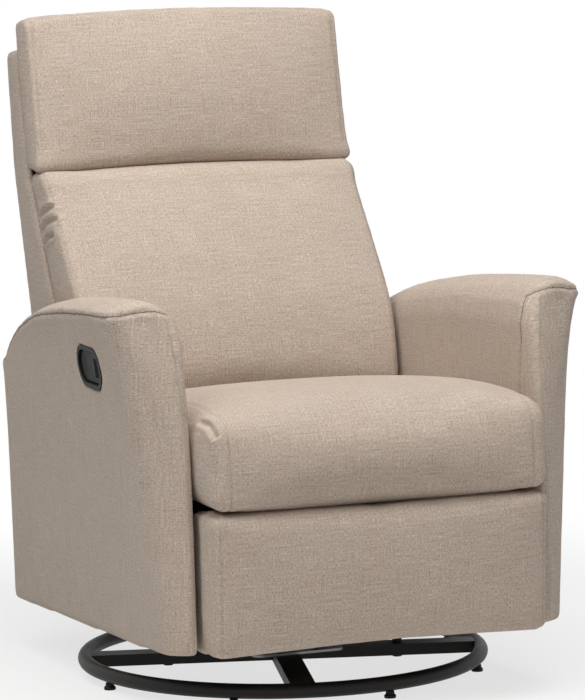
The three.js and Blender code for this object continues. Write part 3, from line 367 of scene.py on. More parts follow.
def makeHardwood(name, settings, stretch):
    material, tree, shader = newMaterial(name)
    place = tree.nodes.new("ShaderNodeTexCoord").outputs["Object"]
    rings = tree.nodes.new("ShaderNodeTexNoise")
    rings.inputs["Scale"].default_value = 1.0
    rings.inputs["Detail"].default_value = 5.0
    rings.inputs["Distortion"].default_value = 0.6
    tree.links.new(stretchedPlace(tree, place, stretch), rings.inputs["Vector"])
    band = mathNode(tree, "FRACT", mathNode(tree, "MULTIPLY", rings.outputs["Fac"], 9.0))
    grown = mixColors(tree, spreadOf(tree, band, 0.15, 0.95), settings["early"], settings["late"])
    tree.links.new(grown, shader.inputs["Base Color"])
    fine = tuple(value * 18 for value in stretch)
    pores = noiseNode(tree, stretchedPlace(tree, place, fine), 1.0, 3.0, 0.7)
    tree.links.new(bumpNode(tree, pores, 0.0003, 0.7), shader.inputs["Normal"])
    tree.links.new(mathNode(tree, "MULTIPLY_ADD", pores, 0.2, 0.6), shader.inputs["Roughness"])
    return material


# the board's near-black colour is painted shade for the dark gap round the footrest
boardShadeClothSet = {
    "color": (0.016, 0.016, 0.017), "faded": (0.035, 0.034, 0.034), "pitch": 0.0016,
    "nodes": ["footrest_board"],
}


def makeDustCloth(settings):
    # the footrest's board is coloured near-black with a cloth weave, as painted shade for the dark gap round
    # it
    material, tree, shader = newMaterial("boardPaintedShade")
    place = tree.nodes.new("ShaderNodeTexCoord").outputs["Object"]
    split = tree.nodes.new("ShaderNodeSeparateXYZ")
    tree.links.new(place, split.inputs[0])
    turns = 2 * math.pi / settings["pitch"]
    one = mathNode(tree, "SINE", mathNode(tree, "MULTIPLY", split.outputs["X"], turns))
    two = mathNode(tree, "SINE", mathNode(tree, "MULTIPLY", split.outputs["Z"], turns))
    weave = mathNode(tree, "MULTIPLY", one, two)
    tree.links.new(bumpNode(tree, weave, 0.0002, 0.8), shader.inputs["Normal"])
    faded = noiseNode(tree, place, 14, 3.0)
    share = mathNode(tree, "MULTIPLY", faded, 0.5)
    tree.links.new(mixColors(tree, share, settings["color"], settings["faded"]), shader.inputs["Base Color"])
    shader.inputs["Roughness"].default_value = 0.9
    return material


def finishNodes(names, material):
    for name in names:
        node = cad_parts[name]
        for number in range(len(node.material_slots)):
            node.material_slots[number].link = "OBJECT"
            node.material_slots[number].material = material


steel = makePaintedSteel(steelSet)
zinc = makeZinc(zincSet)
plastic = makeMouldedPlastic(plasticSet)
finishNodes(steelSet["nodes"], steel)
finishNodes(zincSet["nodes"], zinc)
finishNodes(plasticSet["nodes"], plastic)
finishNodes(woodSet["rails"], makeHardwood("railWood", woodSet, (3, 38, 38)))
finishNodes(woodSet["posts"], makeHardwood("postWood", woodSet, (38, 38, 3)))
finishNodes(boardShadeClothSet["nodes"], makeDustCloth(boardShadeClothSet))
print("steel, zinc, plastic and wood finished")


def addMeshPiece(name, data):
    piece = bpy.data.objects.new(name, data)
    bpy.context.scene.collection.objects.link(piece)
    return piece


floorSet = {
    "half": 7.0, "color": (0.84, 0.84, 0.83), "whiteShare": 0.72, "whiteFrom": 0.7, "whiteTo": 1.6,
}


def layFloor(settings):
    half = settings["half"]
    data = bpy.data.meshes.new("studioFloor")
    corners = [(-half, -half, 0), (half, -half, 0), (half, half, 0), (-half, half, 0)]
    data.from_pydata(corners, [], [(0, 1, 2, 3)])
    floor = addMeshPiece("studioFloor", data)
    material, tree, shader = newMaterial("paleFloor")
    shader.inputs["Base Color"].default_value = (*settings["color"], 1)
    shader.inputs["Roughness"].default_value = 0.9
    shader.inputs["Specular IOR Level"].default_value = 0.1
    white = tree.nodes.new("ShaderNodeEmission")
    white.inputs["Strength"].default_value = 1
    place = tree.nodes.new("ShaderNodeTexCoord").outputs["Object"]
    reach = tree.nodes.new("ShaderNodeVectorMath")
    reach.operation = "LENGTH"
    tree.links.new(place, reach.inputs[0])
    far = spreadOf(tree, reach.outputs["Value"], settings["whiteFrom"], settings["whiteTo"])
    share = mathNode(tree, "MULTIPLY_ADD", far, 1 - settings["whiteShare"], settings["whiteShare"])
    path = tree.nodes.new("ShaderNodeLightPath")
    seen = mathNode(tree, "MAXIMUM", path.outputs["Is Camera Ray"], path.outputs["Is Glossy Ray"])
    share = mathNode(tree, "MULTIPLY", share, seen)
    mix = tree.nodes.new("ShaderNodeMixShader")
    tree.links.new(share, mix.inputs["Fac"])
    tree.links.new(shader.outputs[0], mix.inputs[1])
    tree.links.new(white.outputs[0], mix.inputs[2])
    out = [node for node in tree.nodes if node.type == "OUTPUT_MATERIAL"][0]
    tree.links.new(mix.outputs[0], out.inputs["Surface"])
    data.materials.append(material)


layFloor(floorSet)
print("floor laid")


def settle(piece):
    # what the modifiers show becomes the piece's own mesh
    bpy.context.view_layer.update()
    shown = piece.evaluated_get(bpy.context.evaluated_depsgraph_get())
    data = bpy.data.meshes.new_from_object(shown)
    piece.modifiers.clear()
    piece.data = data
    data.name = piece.name


def copyNode(node, name):
    work = bmesh.new()
    work.from_mesh(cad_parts[node].data)
    bmesh.ops.remove_doubles(work, verts=work.verts, dist=0.00002)
    bmesh.ops.recalc_face_normals(work, faces=work.faces)
    data = bpy.data.meshes.new(name)
    work.to_mesh(data)
    work.free()
    return addMeshPiece(name, data)


def pointsOf(data):
    flat = np.empty(len(data.vertices) * 3)
    data.vertices.foreach_get("co", flat)
    return flat.reshape(-1, 3)


def normalsOf(data):
    flat = np.empty(len(data.vertices) * 3)
    data.vertex_normals.foreach_get("vector", flat)
    return flat.reshape(-1, 3)


def putPoints(data, points):
    data.vertices.foreach_set("co", points.ravel())
    data.update()


def remeshPad(piece, voxel):
    modifier = piece.modifiers.new("remesh", "REMESH")
    modifier.mode = "VOXEL"
    modifier.voxel_size = voxel
    settle(piece)
    smooth = piece.modifiers.new("smooth", "SMOOTH")
    smooth.iterations = 1
    smooth.factor = 0.5
    settle(piece)


def sectionOf(piece, place, normal):
    # where a plane cuts the piece, as short straight bits
    work = bmesh.new()
    work.from_mesh(piece.data)
    parts = work.verts[:] + work.edges[:] + work.faces[:]
    cut = bmesh.ops.bisect_plane(work, geom=parts, plane_co=place, plane_no=normal)["geom_cut"]
    edges = [part for part in cut if isinstance(part, bmesh.types.BMEdge)]
    bits = [[vertex.co.copy() for vertex in edge.verts] for edge in edges]
    work.free()
    return bits


def alongBits(bits, step=0.002):
    points = []
    for first, second in bits:
        count = max(1, math.ceil((second - first).length / step))
        points += [first.lerp(second, share / count) for share in range(count)]
    return points


def sew(piece, points, settings):
    # a groove along the seam, a slight puff beside it, small puckers, and painted shade along the groove in
    # the seam attribute
    tree = KDTree(len(points))
    for number, point in enumerate(points):
        tree.insert(point, number)
    tree.balance()
    data = piece.data
    spots = pointsOf(data)
    normals = normalsOf(data)
    far = np.ones(len(spots))
    pucker = np.zeros(len(spots))
    reach = settings["reach"]
    for number, spot in enumerate(spots):
        near, which, distance = tree.find(spot)
        if distance < reach:
            far[number] = distance
            pucker[number] = noise.noise(Vector(near) * settings["puckers"])
    groove = np.exp(-(far / settings["width"]) ** 2) * settings["depth"]
    beside = np.exp(-((far - settings["reach"] * 0.4) / (settings["reach"] * 0.22)) ** 2)
    lift = beside * settings["puff"] * (1 + settings["unevenness"] * pucker)
    putPoints(data, spots + normals * (lift - groove)[:, None])
    attribute = data.attributes.get("seam") or data.attributes.new("seam", "FLOAT", "POINT")
    before = np.zeros(len(spots))
    attribute.data.foreach_get("value", before)
    # painted shade: the seam attribute darkens the cloth along the groove, by the settings' dark share
    line = np.exp(-(far / (settings["width"] * 0.8)) ** 2) * settings["dark"]
    attribute.data.foreach_set("value", np.maximum(before, line))


# dark: the share of painted shade laid along each groove in the cloth's colour
seamSet = {
    "width": 0.0022, "depth": 0.0012, "puff": 0.0004, "reach": 0.020,
    "puckers": 60, "unevenness": 1.5, "dark": 0.45,
}
capSeamSet = {**seamSet, "depth": 0.0018, "puff": 0.0008, "dark": 0.8}
# the pleats' creases get a little painted shade
pleatSet = {
    "width": 0.0055, "depth": 0.0045, "puff": 0.0022, "reach": 0.020,
    "puckers": 20, "unevenness": 0.4, "dark": 0.12,
}


def orderedPath(bits, first, second):
    # the cut's bits as one path, in the two axes that it lies in
    ends = {}
    for here, there in bits:
        for start, end in ((here, there), (there, here)):
            key = (round(start[first], 6), round(start[second], 6))
            ends.setdefault(key, []).append((round(end[first], 6), round(end[second], 6)))
    path = [min(ends, key=lambda key: (key[1], key[0]))]
    seen = set(path)
    while True:
        ahead = [key for key in ends[path[-1]] if key not in seen]
        if not ahead:
            return path
        path.append(ahead[0])
        seen.add(ahead[0])


def layCloth(piece, along="x", height=0.35):
    # a UV map in metres: along one axis, and round the piece by the length of its outline
    axis, first, second = {"x": (0, 1, 2), "z": (2, 0, 1)}[along]
    data = piece.data
    spots = pointsOf(data)
    place = [0.0, 0.0, 0.0]
    place[axis] = spots[:, 0].mean() if along == "x" else height
    normal = [0.0, 0.0, 0.0]
    normal[axis] = 1.0
    path = orderedPath(sectionOf(piece, place, normal), first, second)
    lengths = [0.0]
    for here, there in zip(path, path[1:]):
        lengths.append(lengths[-1] + math.dist(here, there))
    tree = KDTree(len(path))
    for number, (one, two) in enumerate(path):
        tree.insert((one, two, 0), number)
    tree.balance()
    run = np.empty(len(spots))
    for number, spot in enumerate(spots):
        near, which, distance = tree.find((spot[first], spot[second], 0))
        other = path[(which + 1) % len(path)]
        step = np.array(other) - np.array(path[which])
        past = spot[[first, second]] - np.array(path[which])
        ahead = float(np.dot(past, step)) / max(math.hypot(*step), 1e-9)
        run[number] = lengths[which] + ahead
    corners = np.empty(len(data.loops), dtype=np.int32)
    data.loops.foreach_get("vertex_index", corners)
    counts = np.empty(len(data.polygons), dtype=np.int32)
    data.polygons.foreach_get("loop_total", counts)
    normals = np.empty(len(data.polygons) * 3)
    data.polygons.foreach_get("normal", normals)
    owners = np.repeat(np.arange(len(data.polygons)), counts)
    facing = np.abs(normals.reshape(-1, 3)[owners, axis]) > 0.68
    ends = spots[corners][:, [first, second]]
    around = np.stack([spots[corners][:, axis], run[corners]], axis=1)
    layer = data.uv_layers.new(name="cloth")
    layer.data.foreach_set("uv", np.where(facing[:, None], ends, around).astype(np.float32).ravel())


swellFrames = 20


def swell(piece, settings, seams):
    # the filling presses the cloth out between its seams, which hold
    start = pointsOf(piece.data)
    tree = KDTree(len(seams))
    for number, point in enumerate(seams):
        tree.insert(point, number)
    tree.balance()
    held = [number for number, spot in enumerate(start) if tree.find(spot)[2] < settings["voxel"] * 0.9]
    group = piece.vertex_groups.new(name="held")
    group.add(held, 1.0, "REPLACE")
    cloth = piece.modifiers.new("swell", "CLOTH")
    cloth.settings.use_pressure = True
    cloth.settings.uniform_pressure_force = settings["pressure"]
    cloth.settings.effector_weights.gravity = 0
    cloth.settings.vertex_group_mass = "held"
    cloth.settings.shrink_min = -settings["fullness"]
    cloth.settings.quality = 4
    cloth.point_cache.frame_start = 1
    cloth.point_cache.frame_end = swellFrames
    for number in range(1, swellFrames + 1):
        bpy.context.scene.frame_set(number)
    settle(piece)
    bpy.context.scene.frame_set(1)
    move = pointsOf(piece.data) - start
    size = np.linalg.norm(move, axis=1)
    cap = settings["cap"]
    share = np.where(size > 1e-9, cap * np.tanh(size / cap) / np.maximum(size, 1e-9), 0)
    putPoints(piece.data, start + move * share[:, None])


def easeFolds(piece, rounds):
    # the filling evens out the small folds that the cloth took
    smooth = piece.modifiers.new("ease", "SMOOTH")
    smooth.iterations = rounds
    smooth.factor = 0.5
    settle(piece)


def outerEdge(piece, direction, reach, stations=60):
    # the line across the piece that lies farthest out in a direction of the side view
    spots = pointsOf(piece.data)
    far = spots[:, 1] * direction[0] + spots[:, 2] * direction[1]
    line = []
    for number in range(stations + 1):
        x = reach * (2 * number / stations - 1)
        near = np.where(np.abs(spots[:, 0] - x) < 0.006)[0]
        line.append(Vector(spots[near[np.argmax(far[near])]]))
    smooth = [
        (line[max(k - 1, 0)] + line[k] * 2 + line[min(k + 1, stations)]) / 4 for k in range(stations + 1)
    ]
    return alongBits(zip(smooth, smooth[1:]))


def snapped(piece, corners):
    # a path through corner points, laid onto the piece
    surface = BVHTree.FromObject(piece, bpy.context.evaluated_depsgraph_get())
    stops = [Vector(corner) for corner in corners]
    points = alongBits(zip(stops, stops[1:]))
    return [surface.find_nearest(point)[0] for point in points]


def castFromBehind(piece, corners):
    # a path through (x, z) corners, seen from behind and laid onto the piece
    surface = BVHTree.FromObject(piece, bpy.context.evaluated_depsgraph_get())
    behind = [Vector((x, 1, z)) for x, z in corners]
    path = alongBits(zip(behind, behind[1:]))
    return [surface.ray_cast(point, Vector((0, -1, 0)))[0] for point in path]


def plump(piece, lines):
    # fuller along a line across the piece, given by its place in the side view
    spots = pointsOf(piece.data)
    push = np.zeros(len(spots))
    for y, z, radius, amount in lines:
        far = np.hypot(spots[:, 1] - y, spots[:, 2] - z)
        push += amount * np.exp(-(far / radius) ** 2)
    putPoints(piece.data, spots + normalsOf(piece.data) * push[:, None])


def padFromNode(name, settings):
    piece = copyNode(settings["node"], name)
    remeshPad(piece, settings["voxel"])
    putPoints(piece.data, pointsOf(piece.data) - normalsOf(piece.data) * settings["drawnIn"])
    seams = []
    if settings["sides"]:
        for side in (-1, 1):
            seams += alongBits(sectionOf(piece, (side * settings["sides"], 0, 0), (1, 0, 0)))
    for direction in settings.get("edges", ()):
        seams += outerEdge(piece, direction, settings["sides"])
    for corners in settings.get("paths", ()):
        seams += snapped(piece, corners)
    for corners in settings.get("rearPaths", ()):
        seams += castFromBehind(piece, corners)
    if settings["pressure"]:
        swell(piece, settings, seams)
        easeFolds(piece, settings["easing"])
    rounding = piece.modifiers.new("rounding", "SUBSURF")
    rounding.levels = 1
    rounding.render_levels = 1
    settle(piece)
    plump(piece, settings.get("plump", ()))
    if seams:
        sew(piece, seams, settings.get("seam", seamSet))
    pleats = []
    for corners in settings.get("pleats", ()):
        pleats += snapped(piece, corners)
    if pleats:
        sew(piece, pleats, pleatSet)
    layCloth(piece, settings.get("along", "x"))
    piece.data.shade_smooth()
    piece.data.materials.clear()
    piece.data.materials.append(linen)
    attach(piece, settings["body"])
    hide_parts(settings["node"])
    print(name, "padded:", len(piece.data.polygons), "faces")
    return piece


# The cap's seam runs along the arm's outer side, round the front's top edge and down the inner side.
# Its points are for the sitter's left arm, and the other arm has them mirrored.
capSeam = [
    (0.3385, 0.302, 0.470), (0.3405, 0.262, 0.508), (0.343, 0.204, 0.533), (0.348, 0.113, 0.557),
    (0.3513, 0.0637, 0.5647), (0.3606, -0.0621, 0.5781), (0.3774, -0.2287, 0.591),
    (0.3824, -0.3197, 0.5958), (0.3618, -0.3396, 0.5986), (0.3345, -0.3493, 0.6037),
    (0.3127, -0.3527, 0.6042), (0.3002, -0.3517, 0.6005), (0.2901, -0.3458, 0.5957),
    (0.2856, -0.3375, 0.5914), (0.2787, -0.3395, 0.5784), (0.273, -0.3444, 0.5187),
    (0.273, -0.339, 0.4575), (0.273, -0.335, 0.30), (0.273, -0.330, 0.12),
]


def mirroredPath(points):
    return [(-x, y, z) for x, y, z in points]


cushionSet = {
    "voxel": 0.006, "drawnIn": 0.0015, "pressure": 4, "fullness": 0.004, "cap": 0.008, "fill": 0.8,
}
coverSet = {"drawnIn": 0.0, "pressure": 0, "sides": 0, "seam": capSeamSet, "fill": 1.0}  # drawn tight
padSet = {
    "seatPad": {
        **cushionSet, "node": "seat_cushion", "body": "seat", "easing": 6, "sides": 0.240,
        "pleats": [[
            (-0.2655, -0.390, 0.447), (-0.2611, -0.4146, 0.4447), (-0.2592, -0.4298, 0.438),
            (-0.258, -0.4423, 0.428),
        ]],
    },
    "backPad": {
        **cushionSet, "node": "back_cushion", "body": "backrest", "fullness": 0.001,
        "cap": 0.006, "easing": 16, "sides": 0.2625,
        "plump": [(0.276, 0.754, 0.020, 0.004), (0.300, 0.765, 0.022, 0.0035), (0.330, 0.765, 0.022, 0.003)],
        "pleats": [
            [(-0.269, 0.302, 0.694), (-0.269, 0.2866, 0.7037), (-0.2678, 0.254, 0.7138)],
            [(-0.269, 0.296, 0.672), (-0.269, 0.278, 0.6851), (-0.267, 0.2379, 0.6957)],
            [(-0.269, 0.285, 0.652), (-0.269, 0.2697, 0.6633), (-0.269, 0.2389, 0.6703)],
        ],
    },
    "headPad": {
        **cushionSet, "node": "headrest_cushion", "body": "backrest", "easing": 5, "sides": 0.260,
        "edges": [(-0.5, 0.87)], "fill": 0.85,
        "plump": [(0.302, 0.775, 0.018, 0.0035), (0.325, 0.766, 0.020, 0.003)],
    },
    "footPad": {
        **cushionSet, "node": "footrest_pad", "body": "footrest",
        "cap": 0.007, "easing": 6, "sides": 0.256,
        "plump": [(-0.395, 0.306, 0.020, 0.003), (-0.440, 0.306, 0.020, 0.002)],
    },
    "leftArmCover": {
        **coverSet, "node": "left_arm", "body": "chair_body", "voxel": 0.0065,
        "paths": [capSeam], "along": "z",
    },
    "rightArmCover": {
        **coverSet, "node": "right_arm", "body": "chair_body", "voxel": 0.0065,
        "paths": [mirroredPath(capSeam)], "along": "z",
    },
    "shellCover": {
        **coverSet, "node": "back_shell", "body": "backrest", "voxel": 0.0078,
        "rearPaths": [[(-0.246, 0.155), (-0.246, 0.925), (0.246, 0.925), (0.246, 0.155), (-0.246, 0.155)]],
    },
}
pads = {name: padFromNode(name, settings) for name, settings in padSet.items()}


def startTree(name, numbers):
    # a node tree with a material and named sizes as its inputs
    tree = bpy.data.node_groups.new(name, "GeometryNodeTree")
    tree.is_modifier = True
    tree.interface.new_socket("Geometry", in_out="OUTPUT", socket_type="NodeSocketGeometry")
    tree.interface.new_socket("Geometry", in_out="INPUT", socket_type="NodeSocketGeometry")
    for label in numbers:
        tree.interface.new_socket(label, in_out="INPUT", socket_type="NodeSocketFloat")
    tree.interface.new_socket("Material", in_out="INPUT", socket_type="NodeSocketMaterial")
    return tree, tree.nodes.new("NodeGroupInput"), tree.nodes.new("NodeGroupOutput")


def addNode(tree, kind, links, **values):
    # links gives the inputs by name; each is a socket or a plain value
    node = tree.nodes.new(kind)
    for key, value in values.items():
        setattr(node, key, value)
    for key, value in links.items():
        if isinstance(value, bpy.types.NodeSocket):
            tree.links.new(value, node.inputs[key])
        else:
            node.inputs[key].default_value = value
    return node


def endTree(tree, instances, given, out):
    real = addNode(tree, "GeometryNodeRealizeInstances", {"Geometry": instances})
    finished = addNode(tree, "GeometryNodeSetMaterial", {
        "Geometry": real.outputs[0], "Material": given.outputs["Material"],
    })
    tree.links.new(finished.outputs[0], out.inputs[0])
    return tree


def makeHeadTree():
    # a many-sided or round head on a washer, on each point, turned to the point's facing
    labels = ["Head Radius", "Head Height", "Head Sides", "Washer Radius", "Washer Height"]
    tree, given, out = startTree("heads", labels)
    disc = addNode(tree, "GeometryNodeMeshCylinder", {
        "Vertices": 20, "Radius": given.outputs["Washer Radius"], "Depth": given.outputs["Washer Height"],
    })
    sides = addNode(tree, "FunctionNodeFloatToInt", {"Float": given.outputs["Head Sides"]})
    head = addNode(tree, "GeometryNodeMeshCone", {"Vertices": sides.outputs[0], "Side Segments": 1})
    tree.links.new(given.outputs["Head Height"], head.inputs["Depth"])
    tree.links.new(given.outputs["Head Radius"], head.inputs["Radius Bottom"])
    narrow = addNode(tree, "ShaderNodeMath", {0: given.outputs["Head Radius"], 1: 0.8}, operation="MULTIPLY")
    tree.links.new(narrow.outputs[0], head.inputs["Radius Top"])
    half = addNode(tree, "ShaderNodeMath", {0: given.outputs["Washer Height"], 1: 0.5}, operation="MULTIPLY")
    lift = addNode(tree, "ShaderNodeCombineXYZ", {"Z": half.outputs[0]})
    raised = addNode(tree, "GeometryNodeTransform", {
        "Geometry": head.outputs[0], "Translation": lift.outputs[0],
    })
    both = tree.nodes.new("GeometryNodeJoinGeometry")
    tree.links.new(disc.outputs[0], both.inputs[0])
    tree.links.new(raised.outputs[0], both.inputs[0])
    facing = addNode(tree, "GeometryNodeInputNamedAttribute", {"Name": "facing"}, data_type="FLOAT_VECTOR")
    turn = addNode(tree, "FunctionNodeAlignRotationToVector", {"Vector": facing.outputs[0]}, axis="Z")
    points = addNode(tree, "GeometryNodeMeshToPoints", {"Mesh": given.outputs[0]})
    placed = addNode(tree, "GeometryNodeInstanceOnPoints", {
        "Points": points.outputs[0], "Instance": both.outputs[0], "Rotation": turn.outputs[0],
    })
    return endTree(tree, placed.outputs[0], given, out)


def makeThreadTree():
    # short rounded stitches or staples along a path
    tree, given, out = startTree("stitches", ["Spacing", "Length", "Thickness"])
    curve = addNode(tree, "GeometryNodeMeshToCurve", {"Mesh": given.outputs[0]})
    even = addNode(tree, "GeometryNodeResampleCurve", {
        "Curve": curve.outputs[0], "Length": given.outputs["Spacing"],
    }, mode="LENGTH")
    tangent = tree.nodes.new("GeometryNodeInputTangent")
    turn = addNode(tree, "FunctionNodeAlignRotationToVector", {"Vector": tangent.outputs[0]}, axis="Z")
    half = addNode(tree, "ShaderNodeMath", {0: given.outputs["Length"], 1: 0.5}, operation="MULTIPLY")
    thin = addNode(tree, "ShaderNodeMath", {0: given.outputs["Thickness"], 1: 0.5}, operation="MULTIPLY")
    size = addNode(tree, "ShaderNodeCombineXYZ", {
        "X": thin.outputs[0], "Y": thin.outputs[0], "Z": half.outputs[0],
    })
    bead = addNode(tree, "GeometryNodeMeshUVSphere", {"Segments": 6, "Rings": 5, "Radius": 1.0})
    placed = addNode(tree, "GeometryNodeInstanceOnPoints", {
        "Points": even.outputs[0], "Instance": bead.outputs[0],
        "Rotation": turn.outputs[0], "Scale": size.outputs[0],
    })
    return endTree(tree, placed.outputs[0], given, out)


def grow(name, tree, data, sizes, material, body):
    # the tree's result as a plain mesh on one body
    piece = addMeshPiece(name, data)
    modifier = piece.modifiers.new("grow", "NODES")
    modifier.node_group = tree
    for item in tree.interface.items_tree:
        if item.item_type == "SOCKET" and item.in_out == "INPUT" and item.name in sizes:
            modifier[item.identifier] = float(sizes[item.name])
        elif item.item_type == "SOCKET" and item.in_out == "INPUT" and item.name == "Material":
            modifier[item.identifier] = material
    settle(piece)
    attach(piece, body)
    print(name, "grown:", len(piece.data.polygons), "faces")
    return piece


headTree = makeHeadTree()
threadTree = makeThreadTree()


def seatedPoints(name, casts):
    # each cast starts in free space and stops on the named node's face, where the head sits
    places, facings = [], []
    for node, start, direction in casts:
        surface = BVHTree.FromObject(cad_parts[node], bpy.context.evaluated_depsgraph_get())
        hit, normal, which, distance = surface.ray_cast(Vector(start), Vector(direction))
        if hit is None:
            raise ValueError(name + " finds nothing on " + node)
        places.append(hit)
        facings.append(-Vector(direction))
    data = bpy.data.meshes.new(name)
    data.from_pydata(places, [], [])
    facing = data.attributes.new("facing", "FLOAT_VECTOR", "POINT")
    facing.data.foreach_set("vector", [value for vector in facings for value in vector])
    return data


def bothSides(node, spots, fromX, direction):
    # casts along x at (y, z) spots, on the left node and mirrored on the right one
    casts = []
    for side, sign in (("left_", 1), ("right_", -1)):
        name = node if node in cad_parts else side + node
        casts += [(name, (sign * fromX, y, z), (sign * direction, 0, 0)) for y, z in spots]
    return casts


rivetSizes = {
    "Head Radius": 0.0045, "Head Height": 0.0020, "Head Sides": 18,
    "Washer Radius": 0.0075, "Washer Height": 0.0012,
}
flatRivetSizes = {**rivetSizes, "Head Height": 0.0008, "Washer Radius": 0.0065, "Washer Height": 0.0010}
boltSizes = {
    "Head Radius": 0.0055, "Head Height": 0.0036, "Head Sides": 6,
    "Washer Radius": 0.0080, "Washer Height": 0.0014,
}
clipSizes = {
    "Head Radius": 0.0050, "Head Height": 0.0016, "Head Sides": 12,
    "Washer Radius": 0.0095, "Washer Height": 0.0024,
}

# where heads sit, as (y, z)
glideTops = [(-0.1259, 0.2143), (0.0541, 0.2143)]
glideFeet = [(-0.1259, 0.1093), (0.0541, 0.1093)]
seatPivots = [(-0.2359, 0.286), (0.2011, 0.262)]
legPivots = [(-0.1717, 0.217), (-0.3309, 0.2328)]
uprightSpots = [(-0.1059, 0.088), (0.0341, 0.088)]
backSpots = [(0.270, 0.300), (0.264, 0.384)]
armSpots = [(-0.168, 0.155), (-0.168, 0.238), (-0.025, 0.155), (0.118, 0.155), (0.118, 0.238)]
frameSpots = [(-0.290, 0.301), (-0.130, 0.301), (0.030, 0.301), (0.150, 0.301)]
# each set: the body it rides on, its sizes, and its casts: the node, where each starts and which way it goes
headSets = {
    "glidePins": ("swivel_frame", flatRivetSizes, bothSides("upright", glideTops, 0.225, -1)),
    "railPins": ("chair_body", rivetSizes, bothSides("glide_rail", glideFeet, 0.225, -1)),
    "crankPins": ("seat", flatRivetSizes, bothSides("seat_plate", seatPivots, 0.262, -1)),
    "guidePins": ("seat", rivetSizes, bothSides("seat_plate", [(-0.2874, 0.2944)], 0.266, -1)),
    "unfoldPins": ("leg_cranks", flatRivetSizes, bothSides("crank_link", [(-0.1169, 0.2122)], 0.262, -1)),
    "legPins": ("leg_arms", rivetSizes, bothSides("long_link", legPivots, 0.266, -1)),
    "uprightBolts": ("swivel_frame", boltSizes, bothSides("upright", uprightSpots, 0.160, 1)),
    "armBolts": ("chair_body", boltSizes, bothSides("base_plate", armSpots, 0.259, 1)),
    "seatBolts": ("seat", boltSizes, bothSides("seat_frame", frameSpots, 0.190, 1)),
    "backBolts": ("backrest", boltSizes, bothSides("back_bracket", backSpots, 0.2525, -1)),
    "springClips": ("seat", clipSizes, [
        ("seat_frame", (x, y, 0.301), (0, direction, 0))
        for x in (-0.130, 0.0, 0.130) for y, direction in ((-0.300, -1), (0.130, 1))
    ]),
    "footBolts": ("footrest", boltSizes, [
        (side + "foot_bracket", (sign * 0.230, -0.338, z), (0, -1, 0))
        for side, sign in (("left_", 1), ("right_", -1)) for z in (0.212, 0.260)
    ]),
}
for name, (body, sizes, casts) in headSets.items():
    metal, slot = (zinc, "zinc_steel") if sizes is boltSizes or sizes is clipSizes else (steel, "black_steel")
    grow(name, headTree, seatedPoints(name, casts), sizes, metal, body)


# the cap stitches' near-black colour is painted shadow for the seam's groove
seamShadowThreadSet = {
    "color": (0.075, 0.053, 0.040), "lit": (0.19, 0.145, 0.11), "twist": 1500, "wave": 0.0012, "waves": 34,
    "Spacing": 0.0042, "Length": 0.0040, "Thickness": 0.0016,
}


def makeThread(settings):
    material, tree, shader = newMaterial("seamShadowStitching")
    place = tree.nodes.new("ShaderNodeTexCoord").outputs["Object"]
    twist = noiseNode(tree, place, settings["twist"], 2.0)
    # painted shadow: the stitches' dark colour stands for the shade in the groove
    tree.links.new(mixColors(tree, twist, settings["color"], settings["lit"]), shader.inputs["Base Color"])
    tree.links.new(bumpNode(tree, twist, 0.0001), shader.inputs["Normal"])
    tree.links.new(mathNode(tree, "MULTIPLY_ADD", twist, 0.15, 0.7), shader.inputs["Roughness"])
    return material


def pathMesh(name, points):
    data = bpy.data.meshes.new(name)
    data.from_pydata(points, [(number, number + 1) for number in range(len(points) - 1)], [])
    return data


seamShadowThread = makeThread(seamShadowThreadSet)


def wavering(point, settings):
    # a hand-guided seam is never quite straight
    place = point * settings["waves"]
    return point + Vector((noise.noise(place), noise.noise(place + Vector((7, 0, 0))), 0)) * settings["wave"]


capTop = capSeam[:16]  # lower down, the seat cushion slides past
# dark stitches along each arm's cap seam, as painted shadow in its groove
for name, pad, corners in (
    ("leftCapShadowStitches", pads["leftArmCover"], capTop),
    ("rightCapShadowStitches", pads["rightArmCover"], mirroredPath(capTop)),
):
    wavy = [wavering(point, seamShadowThreadSet) for point in snapped(pad, corners)]
    grow(name, threadTree, pathMesh(name, snapped(pad, wavy)), seamShadowThreadSet, seamShadowThread, "chair_body")


def solidFrom(name, work, material, body):
    bmesh.ops.recalc_face_normals(work, faces=work.faces)
    data = bpy.data.meshes.new(name)
    work.to_mesh(data)
    work.free()
    data.materials.append(material)
    piece = addMeshPiece(name, data)
    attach(piece, body)
    return piece


ringSet = {"ring": 0.309, "tube": 0.0115, "centre": (0.0, -0.0359, 0.022), "around": 128, "section": 20}


def bendRing(settings):
    # the floor ring is one bent tube; its weld to itself is ground smooth
    work = bmesh.new()
    grid = []
    for turn in range(settings["around"]):
        angle = 2 * math.pi * turn / settings["around"]
        row = []
        for spin in range(settings["section"]):
            tilt = 2 * math.pi * spin / settings["section"]
            reach = settings["ring"] + settings["tube"] * math.cos(tilt)
            height = settings["tube"] * math.sin(tilt)
            offset = Vector((reach * math.cos(angle), reach * math.sin(angle), height))
            row.append(work.verts.new(Vector(settings["centre"]) + offset))
        grid.append(row)
    for turn, row in enumerate(grid):
        ahead = grid[(turn + 1) % settings["around"]]
        for spin in range(settings["section"]):
            over = (spin + 1) % settings["section"]
            work.faces.new((row[spin], ahead[spin], ahead[over], row[over]))
    piece = solidFrom("floorRing", work, steel, "floor_base")
    piece.data.shade_smooth()
    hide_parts("base_ring")


bendRing(ringSet)
print("ring bent")


paddleSet = {
    "centre": (-0.351694, -0.169874, 0.506), "level": (0.037874, 0.999269, 0.005138),
    "up": (-0.134426, 0.0, 0.990924), "out": (-0.9902, 0.038221, -0.134328),
    "rear": 0.050, "front": -0.037, "half": 0.023, "thick": 0.006, "below": 0.0018, "corner": 0.009,
    "dish": 0.0018, "ribs": (-0.030, -0.024, -0.018), "ribHeight": 0.0010, "ribShare": 0.62,
    "pinAlong": 0.043, "pinRadius": 0.0025, "pinHalf": 0.0162,
}


